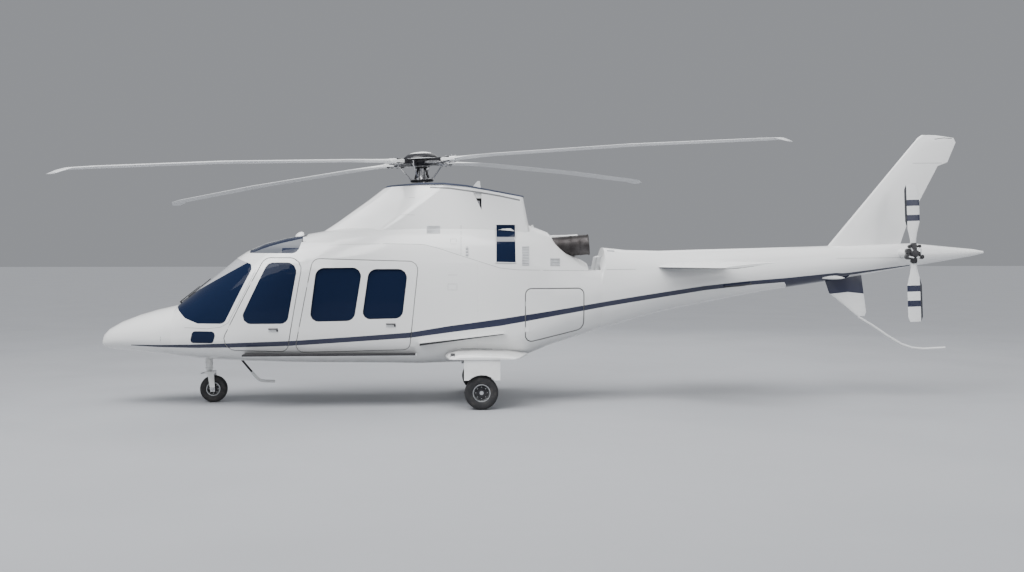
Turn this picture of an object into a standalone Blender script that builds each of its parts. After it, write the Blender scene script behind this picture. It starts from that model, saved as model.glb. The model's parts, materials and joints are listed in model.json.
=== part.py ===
"""Light twin-engine helicopter, parked on its three wheels with its doors shut.

Metres. +X points to the nose, +Y to port, +Z up, and Z = 0 is the ground.
"""

import math

import bmesh
import bpy
from mathutils import Matrix, Vector

# Rotors
ROTOR_RADIUS = 5.415
HUB = Vector((1.849, 0.0, 3.251))
MAST_TILT = math.radians(3.15)
BLADE_COUNT = 4
FIRST_BLADE_ANGLE = math.radians(49.6)
BLADE_ROOT_RADIUS = 0.30
BLADE_DROOP = 0.20
TAIL_HUB = Vector((-4.813, 0.55, 1.988))
TAIL_ROTOR_RADIUS = 0.93
TAIL_ROTOR_LEAN = math.radians(2.0)

# Body shell
SKIN = 0.0003
SEAT_GAP = 0.0008
WALL = 0.045
REAR_WALL = 0.03
BOOM_WALL = 0.018
BULKHEAD = 0.045
COWL_WALL = 0.03
FLOOR_Z = 0.66
NOSE_JOINT_X = 5.04
CABIN_REAR_X = 1.10
BOOM_FRONT_X = -0.56
TAIL_X = -6.043
RING_POINTS = 40
TURNED_SIDES = 24
DOOR_GAP = 0.010
REBATE = 0.012
REBATE_DEPTH = 0.020
BAGGAGE_GAP = 0.014
GLASS_GAP = 0.0004
GLASS_DEPTH = 0.004
GLASS_THICKNESS = 0.008
BOSS_GAP = 0.0006
BOSS_PLACES = (0.25, 0.72)
BOSS_HALF_LENGTH = 0.03
BOSS_REACH = 0.05
BOSS_DEPTH = 0.034
BOSS_SETBACK = 0.004
PANE_DEPTH = 0.021
PANE_LAP = 0.02

# Landing gear
FLAT = math.cos(math.pi / TURNED_SIDES)
MAIN_TYRE_RADIUS = 0.217
MAIN_WHEEL = Vector((1.061, 1.075, MAIN_TYRE_RADIUS * FLAT))
MAIN_WHEEL_WIDTH = 0.16
NOSE_TYRE_RADIUS = 0.181
NOSE_WHEEL = Vector((4.600, 0.0, NOSE_TYRE_RADIUS * FLAT))
NOSE_WHEEL_WIDTH = 0.12
STEER_X = 4.660
AXLE_RADIUS = 0.025
AXLE_PLAY = 0.0009

# Hull sections. Columns: x, bottom z, top z, half width, z of the widest point,
# exponent of the upper half, exponent of the lower half
HULL = [
    (6.043, 0.780, 0.838, 0.030, 0.810, 2.0, 2.0),
    (6.012, 0.755, 0.922, 0.100, 0.830, 2.0, 2.0),
    (5.940, 0.728, 0.993, 0.175, 0.850, 2.0, 2.0),
    (5.770, 0.705, 1.088, 0.285, 0.870, 2.0, 2.0),
    (5.540, 0.682, 1.175, 0.390, 0.890, 2.1, 2.1),
    (5.300, 0.657, 1.246, 0.476, 0.910, 2.2, 2.3),
    (5.040, 0.630, 1.304, 0.552, 0.940, 2.3, 2.5),
    (4.800, 0.604, 1.500, 0.612, 0.970, 2.3, 2.7),
    (4.520, 0.583, 1.727, 0.670, 1.010, 2.4, 2.9),
    (4.272, 0.572, 1.929, 0.710, 1.050, 2.6, 3.1),
    (4.130, 0.566, 2.018, 0.730, 1.080, 2.8, 3.2),
    (3.900, 0.560, 2.120, 0.755, 1.100, 3.0, 3.3),
    (3.600, 0.549, 2.197, 0.778, 1.120, 3.2, 3.4),
    (3.300, 0.543, 2.252, 0.792, 1.140, 3.3, 3.5),
    (2.900, 0.538, 2.320, 0.800, 1.150, 3.4, 3.5),
    (2.300, 0.530, 2.385, 0.805, 1.150, 3.4, 3.5),
    (1.850, 0.520, 2.400, 0.805, 1.150, 3.4, 3.5),
    (1.200, 0.540, 2.400, 0.800, 1.150, 3.4, 3.5),
    (0.800, 0.572, 2.395, 0.785, 1.160, 3.4, 3.4),
    (0.430, 0.625, 2.380, 0.760, 1.180, 3.3, 3.2),
    (0.150, 0.738, 2.275, 0.720, 1.220, 3.1, 3.0),
    (-0.090, 0.812, 2.045, 0.660, 1.270, 3.0, 2.8),
    (-0.386, 0.897, 1.861, 0.560, 1.340, 2.9, 2.6),
    (-0.560, 0.948, 1.861, 0.500, 1.390, 2.7, 2.5),
]

# Tail boom and tail cone sections, same columns
BOOM = [
    (-0.5603, 0.948, 1.875, 0.500, 1.390, 2.7, 2.5),
    (-0.620, 0.965, 2.066, 0.480, 1.420, 2.6, 2.5),
    (-0.950, 1.058, 2.032, 0.425, 1.480, 2.4, 2.4),
    (-1.400, 1.183, 2.021, 0.375, 1.570, 2.3, 2.3),
    (-2.000, 1.300, 2.039, 0.330, 1.650, 2.2, 2.2),
    (-2.850, 1.460, 2.060, 0.280, 1.740, 2.2, 2.2),
    (-3.800, 1.600, 2.090, 0.225, 1.830, 2.2, 2.2),
    (-4.400, 1.702, 2.110, 0.185, 1.900, 2.1, 2.1),
    (-5.000, 1.805, 2.128, 0.145, 1.960, 2.0, 2.0),
    (-5.417, 1.870, 2.088, 0.105, 1.985, 2.0, 2.0),
    (-5.900, 1.952, 2.044, 0.046, 2.000, 2.0, 2.0),
    (-6.043, 1.985, 2.018, 0.016, 2.002, 2.0, 2.0),
]

# Where the engine cowls meet the fuselage. Columns: x, z
COWL_LINE = [
    (3.383, 2.133),
    (1.847, 2.101),
    (1.524, 1.991),
    (1.004, 1.795),
    (0.808, 1.769),
    (-0.387, 1.761),
]

# Door outlines seen from the side, from the lower front corner up and round. Columns: x, z, corner radius
PILOT_DOOR = [(4.432, 0.745, 0.14), (3.841, 1.930, 0.12), (3.336, 1.930, 0.15), (3.540, 0.722, 0.10)]
CABIN_DOOR = [(3.446, 0.712, 0.09), (3.218, 1.921, 0.10), (1.862, 1.882, 0.11), (1.979, 0.741, 0.09)]
BAGGAGE_DOOR = [(0.479, 0.815, 0.08), (0.479, 1.528, 0.08), (-0.308, 1.526, 0.08), (-0.308, 0.985, 0.10)]

# Window outlines, same columns
PILOT_WINDOW = [(4.162, 1.080, 0.10), (3.795, 1.870, 0.11), (3.401, 1.870, 0.12), (3.536, 1.084, 0.10)]
CABIN_WINDOWS = [
    [(3.256, 1.108, 0.10), (3.172, 1.799, 0.11), (2.580, 1.805, 0.11), (2.688, 1.119, 0.11)],
    [(2.590, 1.137, 0.09), (2.500, 1.785, 0.11), (1.998, 1.785, 0.11), (2.072, 1.148, 0.10)],
]
CHIN_WINDOW = [(4.795, 0.832, 0.04), (4.758, 0.988, 0.05), (4.445, 0.986, 0.05), (4.490, 0.832, 0.04)]
OVERHEAD_WINDOW = [(4.100, 1.990, 0.03), (3.960, 2.300, 0.02), (3.340, 2.300, 0.02), (3.420, 1.985, 0.10)]
OVERHEAD_INNER_Y = 0.11
WINDSCREEN = [
    (5.020, 1.292, 0.01),
    (4.860, 1.150, 0.06),
    (4.690, 1.084, 0.08),
    (4.345, 1.083, 0.09),
    (4.005, 1.780, 0.04),
    (4.020, 1.850, 0.03),
    (4.272, 1.929, 0.01),
    (4.330, 2.300, 0.01),
    (5.300, 2.300, 0.01),
    (5.300, 1.360, 0.01),
]
INTAKE_PANEL = [(0.869, 1.846, 0.01), (0.869, 2.378, 0.01), (0.599, 2.378, 0.01), (0.599, 1.846, 0.01)]
INTAKE_DEPTH = 0.012

# Engines and gearbox. Boxes: x, y and z ranges, seated on the deck under the cowls
EXHAUST_RADIUS = 0.135
EXHAUST_WALL = 0.012
EXHAUST_START = Vector((0.45, 0.26, 2.035))
EXHAUST_END = Vector((-0.40, 0.33, 2.105))
ENGINE_X = (0.42, 1.22)
ENGINE_Y = (0.09, 0.46)
ENGINE_TOP = 2.250
GEARBOX_X = (1.50, 2.30)
GEARBOX_Y = (-0.29, 0.29)
GEARBOX_TOP = 2.56
GEARBOX_BOSS_RADIUS = 0.14
GEARBOX_BOSS_DEPTH = 0.8
ROOF_CUTOUT_X = (1.30, 2.45)
ROOF_CUTOUT_Y = 0.34

# Rotor mast, hub and blades. Profiles: radius, height over the hub plane
MAST_FOOT = -0.45
HUB_LOW = -0.08
MAST_RADIUS = 0.055
SWASHPLATE_RADIUS = 0.150
MAST_PROFILE = [
    (0.0, MAST_FOOT),
    (MAST_RADIUS, MAST_FOOT),
    (MAST_RADIUS, -0.30),
    (SWASHPLATE_RADIUS, -0.295),
    (SWASHPLATE_RADIUS, -0.265),
    (0.075, -0.255),
    (MAST_RADIUS, -0.20),
    (MAST_RADIUS, HUB_LOW - SKIN),
    (0.0, HUB_LOW - SKIN),
]
HUB_PROFILE = [
    (0.0, HUB_LOW),
    (0.150, HUB_LOW),
    (0.190, -0.04),
    (0.190, 0.0),
    (0.235, 0.012),
    (0.225, 0.040),
    (0.180, 0.074),
    (0.100, 0.097),
    (0.0, 0.103),
]
ARM_LOW = (0.12, -0.080, -0.062)
ARM_HIGH = (0.56, 0.080, 0.002)
SOCKET_HALF_WIDTH = 0.055
SOCKET_HALF_HEIGHT = 0.0307
BLADE_PLANE = -0.030
BLADE_BEND_RADIUS = 0.6
BLADE_BEND_POWER = 1.6
TIP_DROP = 0.035

# Main blade. Columns: radius, metres ahead of its axis, metres behind it, thickness
BLADE = [
    (BLADE_ROOT_RADIUS, 0.050, 0.050, 0.060),
    (0.620, 0.052, 0.055, 0.055),
    (1.000, 0.085, 0.230, 0.040),
    (1.300, 0.090, 0.245, 0.036),
    (3.400, 0.090, 0.245, 0.034),
    (5.050, 0.090, 0.245, 0.030),
    (5.300, 0.050, 0.235, 0.024),
    (ROTOR_RADIUS, -0.040, 0.215, 0.014),
]

# Tail blades. Columns: share of the radius, chord
TAIL_BLADE = [(0.0, 0.085), (0.20, 0.085), (0.30, 0.12), (0.47, 0.205), (0.93, 0.205), (1.0, 0.150)]
TAIL_BLADE_THICKNESS = 0.022
TAIL_HUB_HALF = Vector((0.11, 0.045, 0.14))
TAIL_SHAFT_RADIUS = 0.04
TAIL_SHAFT_REACH = 0.0695
TAIL_GEARBOX_END = 0.48

# Mast fairing, in plan. Columns: height z, front x, rear x, half width, front half width
FAIRING = [
    (2.150, 3.330, 0.380, 0.545, 0.230),
    (2.385, 2.975, 0.423, 0.500, 0.210),
    (2.700, 2.545, 0.480, 0.420, 0.170),
    (2.850, 2.355, 0.505, 0.380, 0.150),
    (2.950, 2.230, 0.520, 0.355, 0.140),
]
FAIRING_DECK = (2.500, 2.300, 0.495, 0.365, 0.145)
FAIRING_TOP = [(2.70, 2.765), (2.27, 2.872), (1.849, 2.905), (1.537, 2.902), (1.241, 2.873), (0.380, 2.712)]
FAIRING_WALL = 0.04
NOTCH = [(1.150, 2.790), (1.040, 2.790), (1.040, 2.560)]
NOTCH_Y = 0.375
DECK_THICKNESS = 0.022
DECK_OVERHANG = 0.02
MAST_HOLE_RADIUS = 0.17

# Upright surfaces. Columns: height z, leading x, trailing x, thickness
FIN = [
    (1.950, -3.680, -4.780, 0.130),
    (2.353, -4.022, -4.922, 0.115),
    (2.729, -4.343, -5.121, 0.100),
    (3.214, -4.755, -5.381, 0.080),
    (3.268, -4.800, -5.522, 0.080),
    (3.546, -5.038, -5.641, 0.068),
    (3.610, -5.093, -5.610, 0.055),
    (3.647, -5.150, -5.345, 0.020),
]
VENTRAL_FIN = [
    (1.109, -4.215, -4.325, 0.030),
    (1.164, -4.150, -4.348, 0.040),
    (1.432, -3.818, -4.312, 0.060),
    (1.800, -3.690, -4.262, 0.085),
]
# Stabiliser. Columns: span y, leading x, trailing x, thickness
STABILISER = [
    (0.150, -1.240, -2.185, 0.085),
    (0.750, -1.575, -2.425, 0.075),
    (1.400, -1.950, -2.690, 0.060),
    (1.450, -2.000, -2.710, 0.030),
]
STABILISER_LOW = 1.800
STABILISER_RISE = 0.075
# Share of the chord from the leading edge, and half thickness as a share of the greatest
FOIL = [(0.0, 0.0), (0.03, 0.42), (0.12, 0.80), (0.32, 1.0), (0.60, 0.78), (0.85, 0.34), (1.0, 0.06)]
TAIL_SKID_RADIUS = 0.016
# Tail skid. Columns: x, z
TAIL_SKID = [
    (-4.240, 1.107),
    (-4.250, 1.090),
    (-4.430, 0.985),
    (-4.645, 0.840),
    (-4.855, 0.715),
    (-5.010, 0.662),
    (-5.180, 0.645),
    (-5.490, 0.660),
]

# Main legs, sponsons, strakes and steps
OLEO_Y = 0.905
OLEO_LOW = 0.17
OLEO_RADIUS = 0.038
GEAR_DOOR_Y = (1.168, 1.184)
GEAR_DOOR_X = (0.827, 1.284)
GEAR_DOOR_LOW = 0.380
SHELF_X = (0.907, 1.204)
SHELF_Y = (0.880, 1.178)
SHELF_LOW = 0.55
ARCH_RADIUS = 0.235
SPONSON_LOW = 0.644
# Sponson. Columns: y, leading x, trailing x, thickness
SPONSON = [
    (0.600, 1.530, 0.440, 0.100),
    (1.000, 1.498, 0.546, 0.072),
    (1.150, 1.470, 0.580, 0.062),
    (1.200, 1.400, 0.640, 0.030),
]
# Top of the sponson over its flat underside. Columns: share of chord, share of thickness
SPONSON_TOP = [(0.0, 0.25), (0.04, 0.62), (0.15, 0.93), (0.40, 1.0), (0.75, 0.80), (1.0, 0.30)]
# Strake seen from the side. Columns: x, z
STRAKE = [(1.860, 0.823), (0.745, 0.945), (0.745, 0.963), (1.860, 0.841)]
STRAKE_Y = (0.55, 0.885)
STEP_X = (1.900, 4.100)
STEP_Y = (0.50, 0.83)
STEP_Z = (0.672, 0.694)

# Nose leg and fork
NOSE_LEG_LOW = 0.440
NOSE_LEG_RADIUS = 0.045
FORK_RADIUS = 0.038
CROWN_X = (4.585, 4.700)
CROWN_Z = (0.385, 0.415)
FORK_CLEARANCE = 0.012
FORK_THICKNESS = 0.018
FORK_FOOT_DROP = 0.03

# Seats and panel. Profiles: x (from the seat's own place for a seat), z
SEAT_X = (-0.26, 0.24)
SEAT_HEIGHT = 0.36
SEAT_BACK = [(-0.30, 0.98), (-0.16, 0.98), (-0.26, 1.66), (-0.38, 1.66)]
PILOT_SEAT = (3.72, 0.25, 0.18)
BENCH = (1.72, 0.0, 0.48)
CONSOLE = [(4.60, FLOOR_Z + SKIN), (4.58, 1.00), (4.42, 1.00), (4.30, FLOOR_Z + SKIN)]
CONSOLE_HALF_WIDTH = 0.13
COAMING = [(4.66, 0.96), (4.64, 1.12), (4.44, 1.22), (4.38, 1.20), (4.42, 0.96)]
COAMING_HALF_WIDTH = 0.42

# Mount faces: the floor plate between the seats and the jack pads under the sponsons
FLOOR_PLATE_LOW = (2.15, -0.50)
FLOOR_PLATE_HIGH = (3.15, 0.50)
FLOOR_PLATE_TOP = 0.666
JACK_PAD = Vector((1.40, 1.00, 0.636))
JACK_PAD_RADIUS = 0.035

# Colours
WHITE = (0.80, 0.80, 0.79)
GREY = (0.45, 0.46, 0.47)
GLASS = (0.02, 0.03, 0.05)
BLACK = (0.015, 0.015, 0.018)
METAL = (0.30, 0.29, 0.28)
LEATHER = (0.55, 0.48, 0.38)


def material(name, colour, roughness=0.4, metallic=0.0):
    made = bpy.data.materials.new(name)
    made.use_nodes = True
    shader = made.node_tree.nodes["Principled BSDF"]
    shader.inputs["Base Color"].default_value = (*colour, 1.0)
    shader.inputs["Roughness"].default_value = roughness
    shader.inputs["Metallic"].default_value = metallic
    made.diffuse_color = (*colour, 1.0)
    return made


def solid(name, points, faces):
    """An object from points and faces, with its normals pointing out."""
    mesh = bpy.data.meshes.new(name)
    mesh.from_pydata([tuple(p) for p in points], [], faces)
    shape = bmesh.new()
    shape.from_mesh(mesh)
    bmesh.ops.recalc_face_normals(shape, faces=shape.faces)
    shape.to_mesh(mesh)
    shape.free()
    made = bpy.data.objects.new(name, mesh)
    bpy.context.scene.collection.objects.link(made)
    return made


def loft(name, rings):
    """A closed body through rings with the same number of points each, capped at both ends."""
    count = len(rings[0])
    points = [p for ring in rings for p in ring]
    faces = [tuple(range(base, base + count)) for base in (0, len(points) - count)]
    for r in range(len(rings) - 1):
        base = r * count
        for i in range(count):
            j = (i + 1) % count
            faces.append((base + i, base + j, base + count + j, base + count + i))
    return solid(name, points, faces)


def prism(name, outline, start, end):
    """An outline of (x, z) points carried along Y."""
    return loft(name, [[(x, start, z) for x, z in outline], [(x, end, z) for x, z in outline]])


def box(name, low, high):
    outline = [(low[0], low[2]), (high[0], low[2]), (high[0], high[2]), (low[0], high[2])]
    return prism(name, outline, low[1], high[1])


def side_box(name, side, low, high):
    """A box given for the left side, or its mirror image for the right (side -1)."""
    start, end = sorted((side * low[1], side * high[1]))
    return box(name, (low[0], start, low[2]), (high[0], end, high[2]))


def turned(name, profile, centre, direction, sides=TURNED_SIDES):
    """A profile of (radius, distance along the axis) points turned about an axis.

    A point of radius 0 is one point on the axis. A flat side faces down when the axis is level.
    """
    turn = Vector((0, 0, 1)).rotation_difference(Vector(direction)).to_matrix()
    points, columns = [], []
    for radius, along in profile:
        column = []
        for k in range(sides if radius else 1):
            angle = 2 * math.pi * (k + 0.5) / sides
            place = Vector((radius * math.cos(angle), radius * math.sin(angle), along))
            column.append(len(points))
            points.append(Vector(centre) + turn @ place)
        columns.append(column if radius else column * sides)
    faces = []
    for i, here in enumerate(columns):
        there = columns[(i + 1) % len(columns)]
        for k in range(sides):
            j = (k + 1) % sides
            corners = [here[k], here[j], there[j], there[k]]
            corners = [c for n, c in enumerate(corners) if c not in corners[:n]]
            if len(corners) > 2:
                faces.append(tuple(corners))
    return solid(name, points, faces)


def cylinder(name, start, end, radius, end_radius=None, sides=TURNED_SIDES):
    start = Vector(start)
    axis = Vector(end) - start
    turn = Vector((0, 0, 1)).rotation_difference(axis.normalized()).to_matrix()
    rings = []
    for place, size in ((0.0, radius), (axis.length, end_radius or radius)):
        ring = []
        for k in range(sides):
            angle = 2 * math.pi * k / sides
            ring.append(start + turn @ Vector((size * math.cos(angle), size * math.sin(angle), place)))
        rings.append(ring)
    return loft(name, rings)


def tube(name, route, radius, sides=10):
    """A round bar along a route that stays in a plane of constant Y."""
    rings = []
    for i, point in enumerate(route):
        before = Vector(route[max(i - 1, 0)])
        after = Vector(route[min(i + 1, len(route) - 1)])
        along = (after - before).normalized()
        across = Vector((0, 1, 0))
        up = along.cross(across)
        ring = []
        for k in range(sides):
            angle = 2 * math.pi * k / sides
            ring.append(Vector(point) + radius * (math.cos(angle) * across + math.sin(angle) * up))
        rings.append(ring)
    return loft(name, rings)


def combine(target, tool, operation):
    """Cut, keep or join with the exact solver, and drop the tool."""
    step = target.modifiers.new(operation.title(), "BOOLEAN")
    step.operation = operation
    step.solver = "EXACT"
    step.object = tool
    evaluated = target.evaluated_get(bpy.context.evaluated_depsgraph_get())
    mesh = bpy.data.meshes.new_from_object(evaluated)
    target.modifiers.clear()
    target.data = mesh
    bpy.data.objects.remove(tool)
    return target


def cut(target, *tools):
    for tool in tools:
        combine(target, tool, "DIFFERENCE")
    return target


def keep(target, tool):
    return combine(target, tool, "INTERSECT")


def join(target, *tools):
    for tool in tools:
        combine(target, tool, "UNION")
    return target


def finish(made, colour, roughness=0.4, metallic=0.0, smooth=True):
    """Give a finished piece its own material and its shading."""
    made.data.materials.clear()
    made.data.materials.append(material(made.name + "_finish", colour, roughness, metallic))
    if smooth:
        made.data.shade_smooth()
        made.data.set_sharp_from_angle(angle=math.radians(30))
    return made


def between(table, x):
    """The row of a table at x, between its neighbours. The table runs from nose to tail."""
    if x >= table[0][0]:
        return (x, *table[0][1:])
    for ahead, behind in zip(table, table[1:]):
        if x >= behind[0]:
            share = (ahead[0] - x) / (ahead[0] - behind[0])
            return (x, *(a + share * (b - a) for a, b in zip(ahead[1:], behind[1:])))
    return (x, *table[-1][1:])


def body_ring(row, inset=0.0, floor=-1.0, ceiling=9.0):
    """One closed section of the body, inset from the skin, over a flat floor."""
    x, low, high, half, middle, upper, lower = row
    low = low + inset
    high = min(high - inset, ceiling)
    half = half - inset
    ring = []
    for k in range(RING_POINTS):
        angle = 2 * math.pi * (k + 0.5) / RING_POINTS
        across, rise = math.cos(angle), math.sin(angle)
        power = 2.0 / (upper if rise > 0 else lower)
        side = math.copysign(abs(across) ** power, across)
        lift = abs(rise) ** power
        z = middle + (high - middle) * lift if rise > 0 else middle - (middle - low) * lift
        ring.append((x, half * side, max(z, floor)))
    return ring


def body(name, table, front, rear, inset=0.0, floor=-1.0, ceiling=None):
    """The body between two stations, as one solid."""
    rings = [body_ring(row, inset, floor, ceiling(row[0]) if ceiling else 9.0) for row in table]
    inside = [ring for ring in rings if rear < ring[0][0] < front]
    return loft(name, [ring_at(rings, front)] + inside + [ring_at(rings, rear)])


def ring_at(rings, x):
    """The ring at a station, straight between its neighbours, or the end ring carried on along X."""
    for ahead, behind in zip(rings, rings[1:]):
        if ahead[0][0] >= x >= behind[0][0]:
            share = (ahead[0][0] - x) / (ahead[0][0] - behind[0][0])
            return [tuple(Vector(a).lerp(Vector(b), share)) for a, b in zip(ahead, behind)]
    end = rings[0] if x > rings[0][0][0] else rings[-1]
    return [(x, y, z) for _, y, z in end]


def skin_y(x, z, table=HULL):
    """How far out the skin is at a place seen from the side."""
    _, low, high, half, middle, upper, lower = between(table, x)
    if z >= middle:
        share, power = (z - middle) / (high - middle), upper
    else:
        share, power = (middle - z) / (middle - low), lower
    return half * (1 - min(share, 1.0) ** power) ** (1 / power)


def rounded(corners, grow=0.0, steps=4):
    """An outline with rounded corners from (x, z, radius) corners, grown outward by grow."""
    count = len(corners)
    area = sum(
        corners[i][0] * corners[(i + 1) % count][1] - corners[(i + 1) % count][0] * corners[i][1]
        for i in range(count)
    )
    turn = 1.0 if area > 0 else -1.0
    outline = []
    for i in range(count):
        here = Vector(corners[i][:2])
        before = (Vector(corners[i - 1][:2]) - here).normalized()
        after = (Vector(corners[(i + 1) % count][:2]) - here).normalized()
        half = before.angle(after) / 2
        inward = (before + after).normalized()
        convex = (-before.x * after.y + before.y * after.x) * turn > 0
        side = 1.0 if convex else -1.0
        radius = max(corners[i][2] + grow * side, 0.002)
        corner = here - inward * side * grow / math.sin(half)
        reach = radius / math.tan(half)
        first, last = corner + before * reach, corner + after * reach
        centre = corner + inward * radius / math.sin(half)
        for k in range(steps + 1):
            spoke = (first - centre).lerp(last - centre, k / steps).normalized()
            outline.append(tuple(centre + spoke * radius))
    return outline


def window(name, corners, side, table=HULL, near=0.25):
    """Curved glass filling a side window, a little inside the skin."""
    made = body(name, table, corners_front(corners), corners_rear(corners), inset=GLASS_DEPTH)
    keep(made, prism("cutter", rounded(corners, -GLASS_GAP), side * near, side * 1.0))
    inner = body("cutter", table, 5.2, 1.0, inset=GLASS_DEPTH + GLASS_THICKNESS)
    return cut(made, inner)


def corners_front(corners):
    return max(c[0] for c in corners) + 0.1


def corners_rear(corners):
    return min(c[0] for c in corners) - 0.1


def cowl_line_z(x):
    return between(COWL_LINE, x)[1]


def cabin_ceiling(x):
    return cowl_line_z(x) - 0.05 if x < 3.45 else 3.0


def above_cowl_line(grow=0.0):
    """Everything above the line where the cowls meet the fuselage."""
    line = [(x, z + grow) for x, z in COWL_LINE]
    outline = [(COWL_LINE[0][0] + grow, 3.0), (COWL_LINE[0][0] + grow, line[0][1])] + line[1:]
    outline += [(-0.9, line[-1][1]), (-0.9, 3.0)]
    return prism("cutter", outline, -1.2, 1.2)


def cabin_inside():
    return body("cutter", HULL, 4.97, CABIN_REAR_X + 0.08, WALL, FLOOR_Z, cabin_ceiling)


def make_nose():
    finish(body("nose_cone", HULL, HULL[0][0], NOSE_JOINT_X + SKIN), WHITE, 0.25)


def make_cabin():
    shell = body("cabin_shell", HULL, NOSE_JOINT_X, CABIN_REAR_X + SKIN)
    cut(shell, above_cowl_line(), cabin_inside())
    cut(shell, prism("cutter", rounded(WINDSCREEN), -1.0, 1.0))
    for side in (1, -1):
        cut(shell, prism("cutter", rounded(CHIN_WINDOW), side * 0.25, side))
        cut(shell, prism("cutter", rounded(OVERHEAD_WINDOW), side * OVERHEAD_INNER_Y, side))
        for door in (PILOT_DOOR, CABIN_DOOR):
            cut(shell, prism("cutter", rounded(door, DOOR_GAP / 2), side * 0.3, side))
            rebate = body("cutter", HULL, corners_front(door), corners_rear(door), REBATE_DEPTH, FLOOR_Z)
            keep(rebate, prism("cutter", rounded(door, DOOR_GAP / 2 + REBATE), side * 0.3, side))
            cut(shell, rebate)
    low, high = (*FLOOR_PLATE_LOW, FLOOR_Z - 0.01), (*FLOOR_PLATE_HIGH, FLOOR_PLATE_TOP)
    join(shell, box("plate", low, high))
    finish(shell, WHITE, 0.25)

    screen = body("windscreen", HULL, 5.10, 3.95, inset=GLASS_DEPTH)
    keep(screen, prism("cutter", rounded(WINDSCREEN, -GLASS_GAP), -1.0, 1.0))
    cut(screen, body("cutter", HULL, 5.2, 3.8, inset=GLASS_DEPTH + GLASS_THICKNESS))
    cut(screen, box("cutter", (NOSE_JOINT_X - 0.012, -1, 0), (5.4, 1, 3)))
    finish(screen, GLASS, 0.05)
    for side, word in ((1, "left"), (-1, "right")):
        finish(window("chin_window_" + word, CHIN_WINDOW, side), GLASS, 0.05)
        pane = window("overhead_window_" + word, OVERHEAD_WINDOW, side, near=OVERHEAD_INNER_Y + GLASS_GAP)
        finish(pane, GLASS, 0.05)


def hinge_line(corners):
    """The lowest and highest places of a door's straight front edge, just outside the skin."""
    low, high = Vector(corners[0][:2]), Vector(corners[1][:2])
    steps = [low.lerp(high, k / 12) for k in range(1, 12)]
    out = max(skin_y(p.x, p.y) for p in steps) + 0.002
    return low, high, out


def door_panel(name, corners, side, wall, gap, floor=-1.0, ceiling=None):
    """A door cut from the hollow shell, set back inside its edge, with a boss at each hinge."""
    front, rear = corners_front(corners), corners_rear(corners)
    door = body(name, HULL, front, rear)
    keep(door, prism("cutter", rounded(corners, -gap / 2), side * 0.3, side))
    edge = body("cutter", HULL, front + 0.1, rear - 0.1, inset=REBATE_DEPTH)
    cut(edge, prism("cutter", rounded(corners, -gap / 2 - REBATE), side * 0.2, side))
    cut(door, edge)
    low, high, out = hinge_line(corners)
    along = (high - low).normalized()
    normal = Vector((along.y, -along.x))
    for share in BOSS_PLACES:
        seat = low.lerp(high, share)
        skin = min(skin_y(seat.x, seat.y), out - BOSS_SETBACK) - BOSS_SETBACK
        outline = []
        ahead = gap / 2 - BOSS_GAP
        for step, forward in ((-1, -BOSS_REACH), (-1, ahead), (1, ahead), (1, -BOSS_REACH)):
            outline.append(tuple(seat + along * step * BOSS_HALF_LENGTH + normal * forward))
        boss = prism("boss", outline, side * (skin - BOSS_DEPTH), side * skin)
        join(door, boss)
    return cut(door, body("cutter", HULL, front + 0.1, rear - 0.1, wall, floor, ceiling))


def make_doors():
    for side, word in ((1, "left"), (-1, "right")):
        door = door_panel("pilot_door_" + word, PILOT_DOOR, side, WALL, DOOR_GAP, FLOOR_Z, cabin_ceiling)
        cut(door, prism("cutter", rounded(PILOT_WINDOW), side * 0.3, side))
        finish(door, WHITE, 0.25)
        finish(window("pilot_window_" + word, PILOT_WINDOW, side), GLASS, 0.05)

        door = door_panel("cabin_door_" + word, CABIN_DOOR, side, WALL, DOOR_GAP, FLOOR_Z, cabin_ceiling)
        for corners in CABIN_WINDOWS:
            cut(door, prism("cutter", rounded(corners), side * 0.3, side))
        rebate = CABIN_WINDOWS[0][:2] + CABIN_WINDOWS[1][2:]
        pocket = body("cutter", HULL, 3.5, 1.7, inset=PANE_DEPTH)
        keep(pocket, prism("cutter", rounded(rebate, PANE_LAP), side * 0.3, side))
        cut(door, pocket)
        finish(door, WHITE, 0.25)
        pane = body("cabin_window_" + word, HULL, 3.5, 1.7, inset=PANE_DEPTH + SKIN)
        keep(pane, prism("cutter", rounded(rebate, PANE_LAP - GLASS_GAP), side * 0.3, side))
        cut(pane, body("cutter", HULL, 3.6, 1.6, inset=PANE_DEPTH + GLASS_THICKNESS))
        finish(pane, GLASS, 0.05)

    hatch = door_panel("baggage_door", BAGGAGE_DOOR, 1, REAR_WALL, BAGGAGE_GAP)
    finish(hatch, WHITE, 0.25)


def bay_ceiling(x):
    return cowl_line_z(x) - 0.04


def make_rear_fuselage():
    rear = body("rear_fuselage", HULL, CABIN_REAR_X - SKIN, BOOM_FRONT_X)
    cut(rear, above_cowl_line())
    front, back = CABIN_REAR_X - BULKHEAD, BOOM_FRONT_X + BULKHEAD
    cut(rear, body("cutter", HULL, front, back, REAR_WALL, ceiling=bay_ceiling))
    cut(rear, prism("cutter", rounded(BAGGAGE_DOOR, BAGGAGE_GAP / 2), 0.3, 1.0))
    finish(rear, WHITE, 0.25)


def make_boom():
    boom = body("tail_boom", BOOM, BOOM[0][0], TAIL_X)
    cut(boom, body("cutter", BOOM, BOOM[0][0] + 0.1, -4.9, BOOM_WALL))
    finish(boom, WHITE, 0.25)


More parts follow.
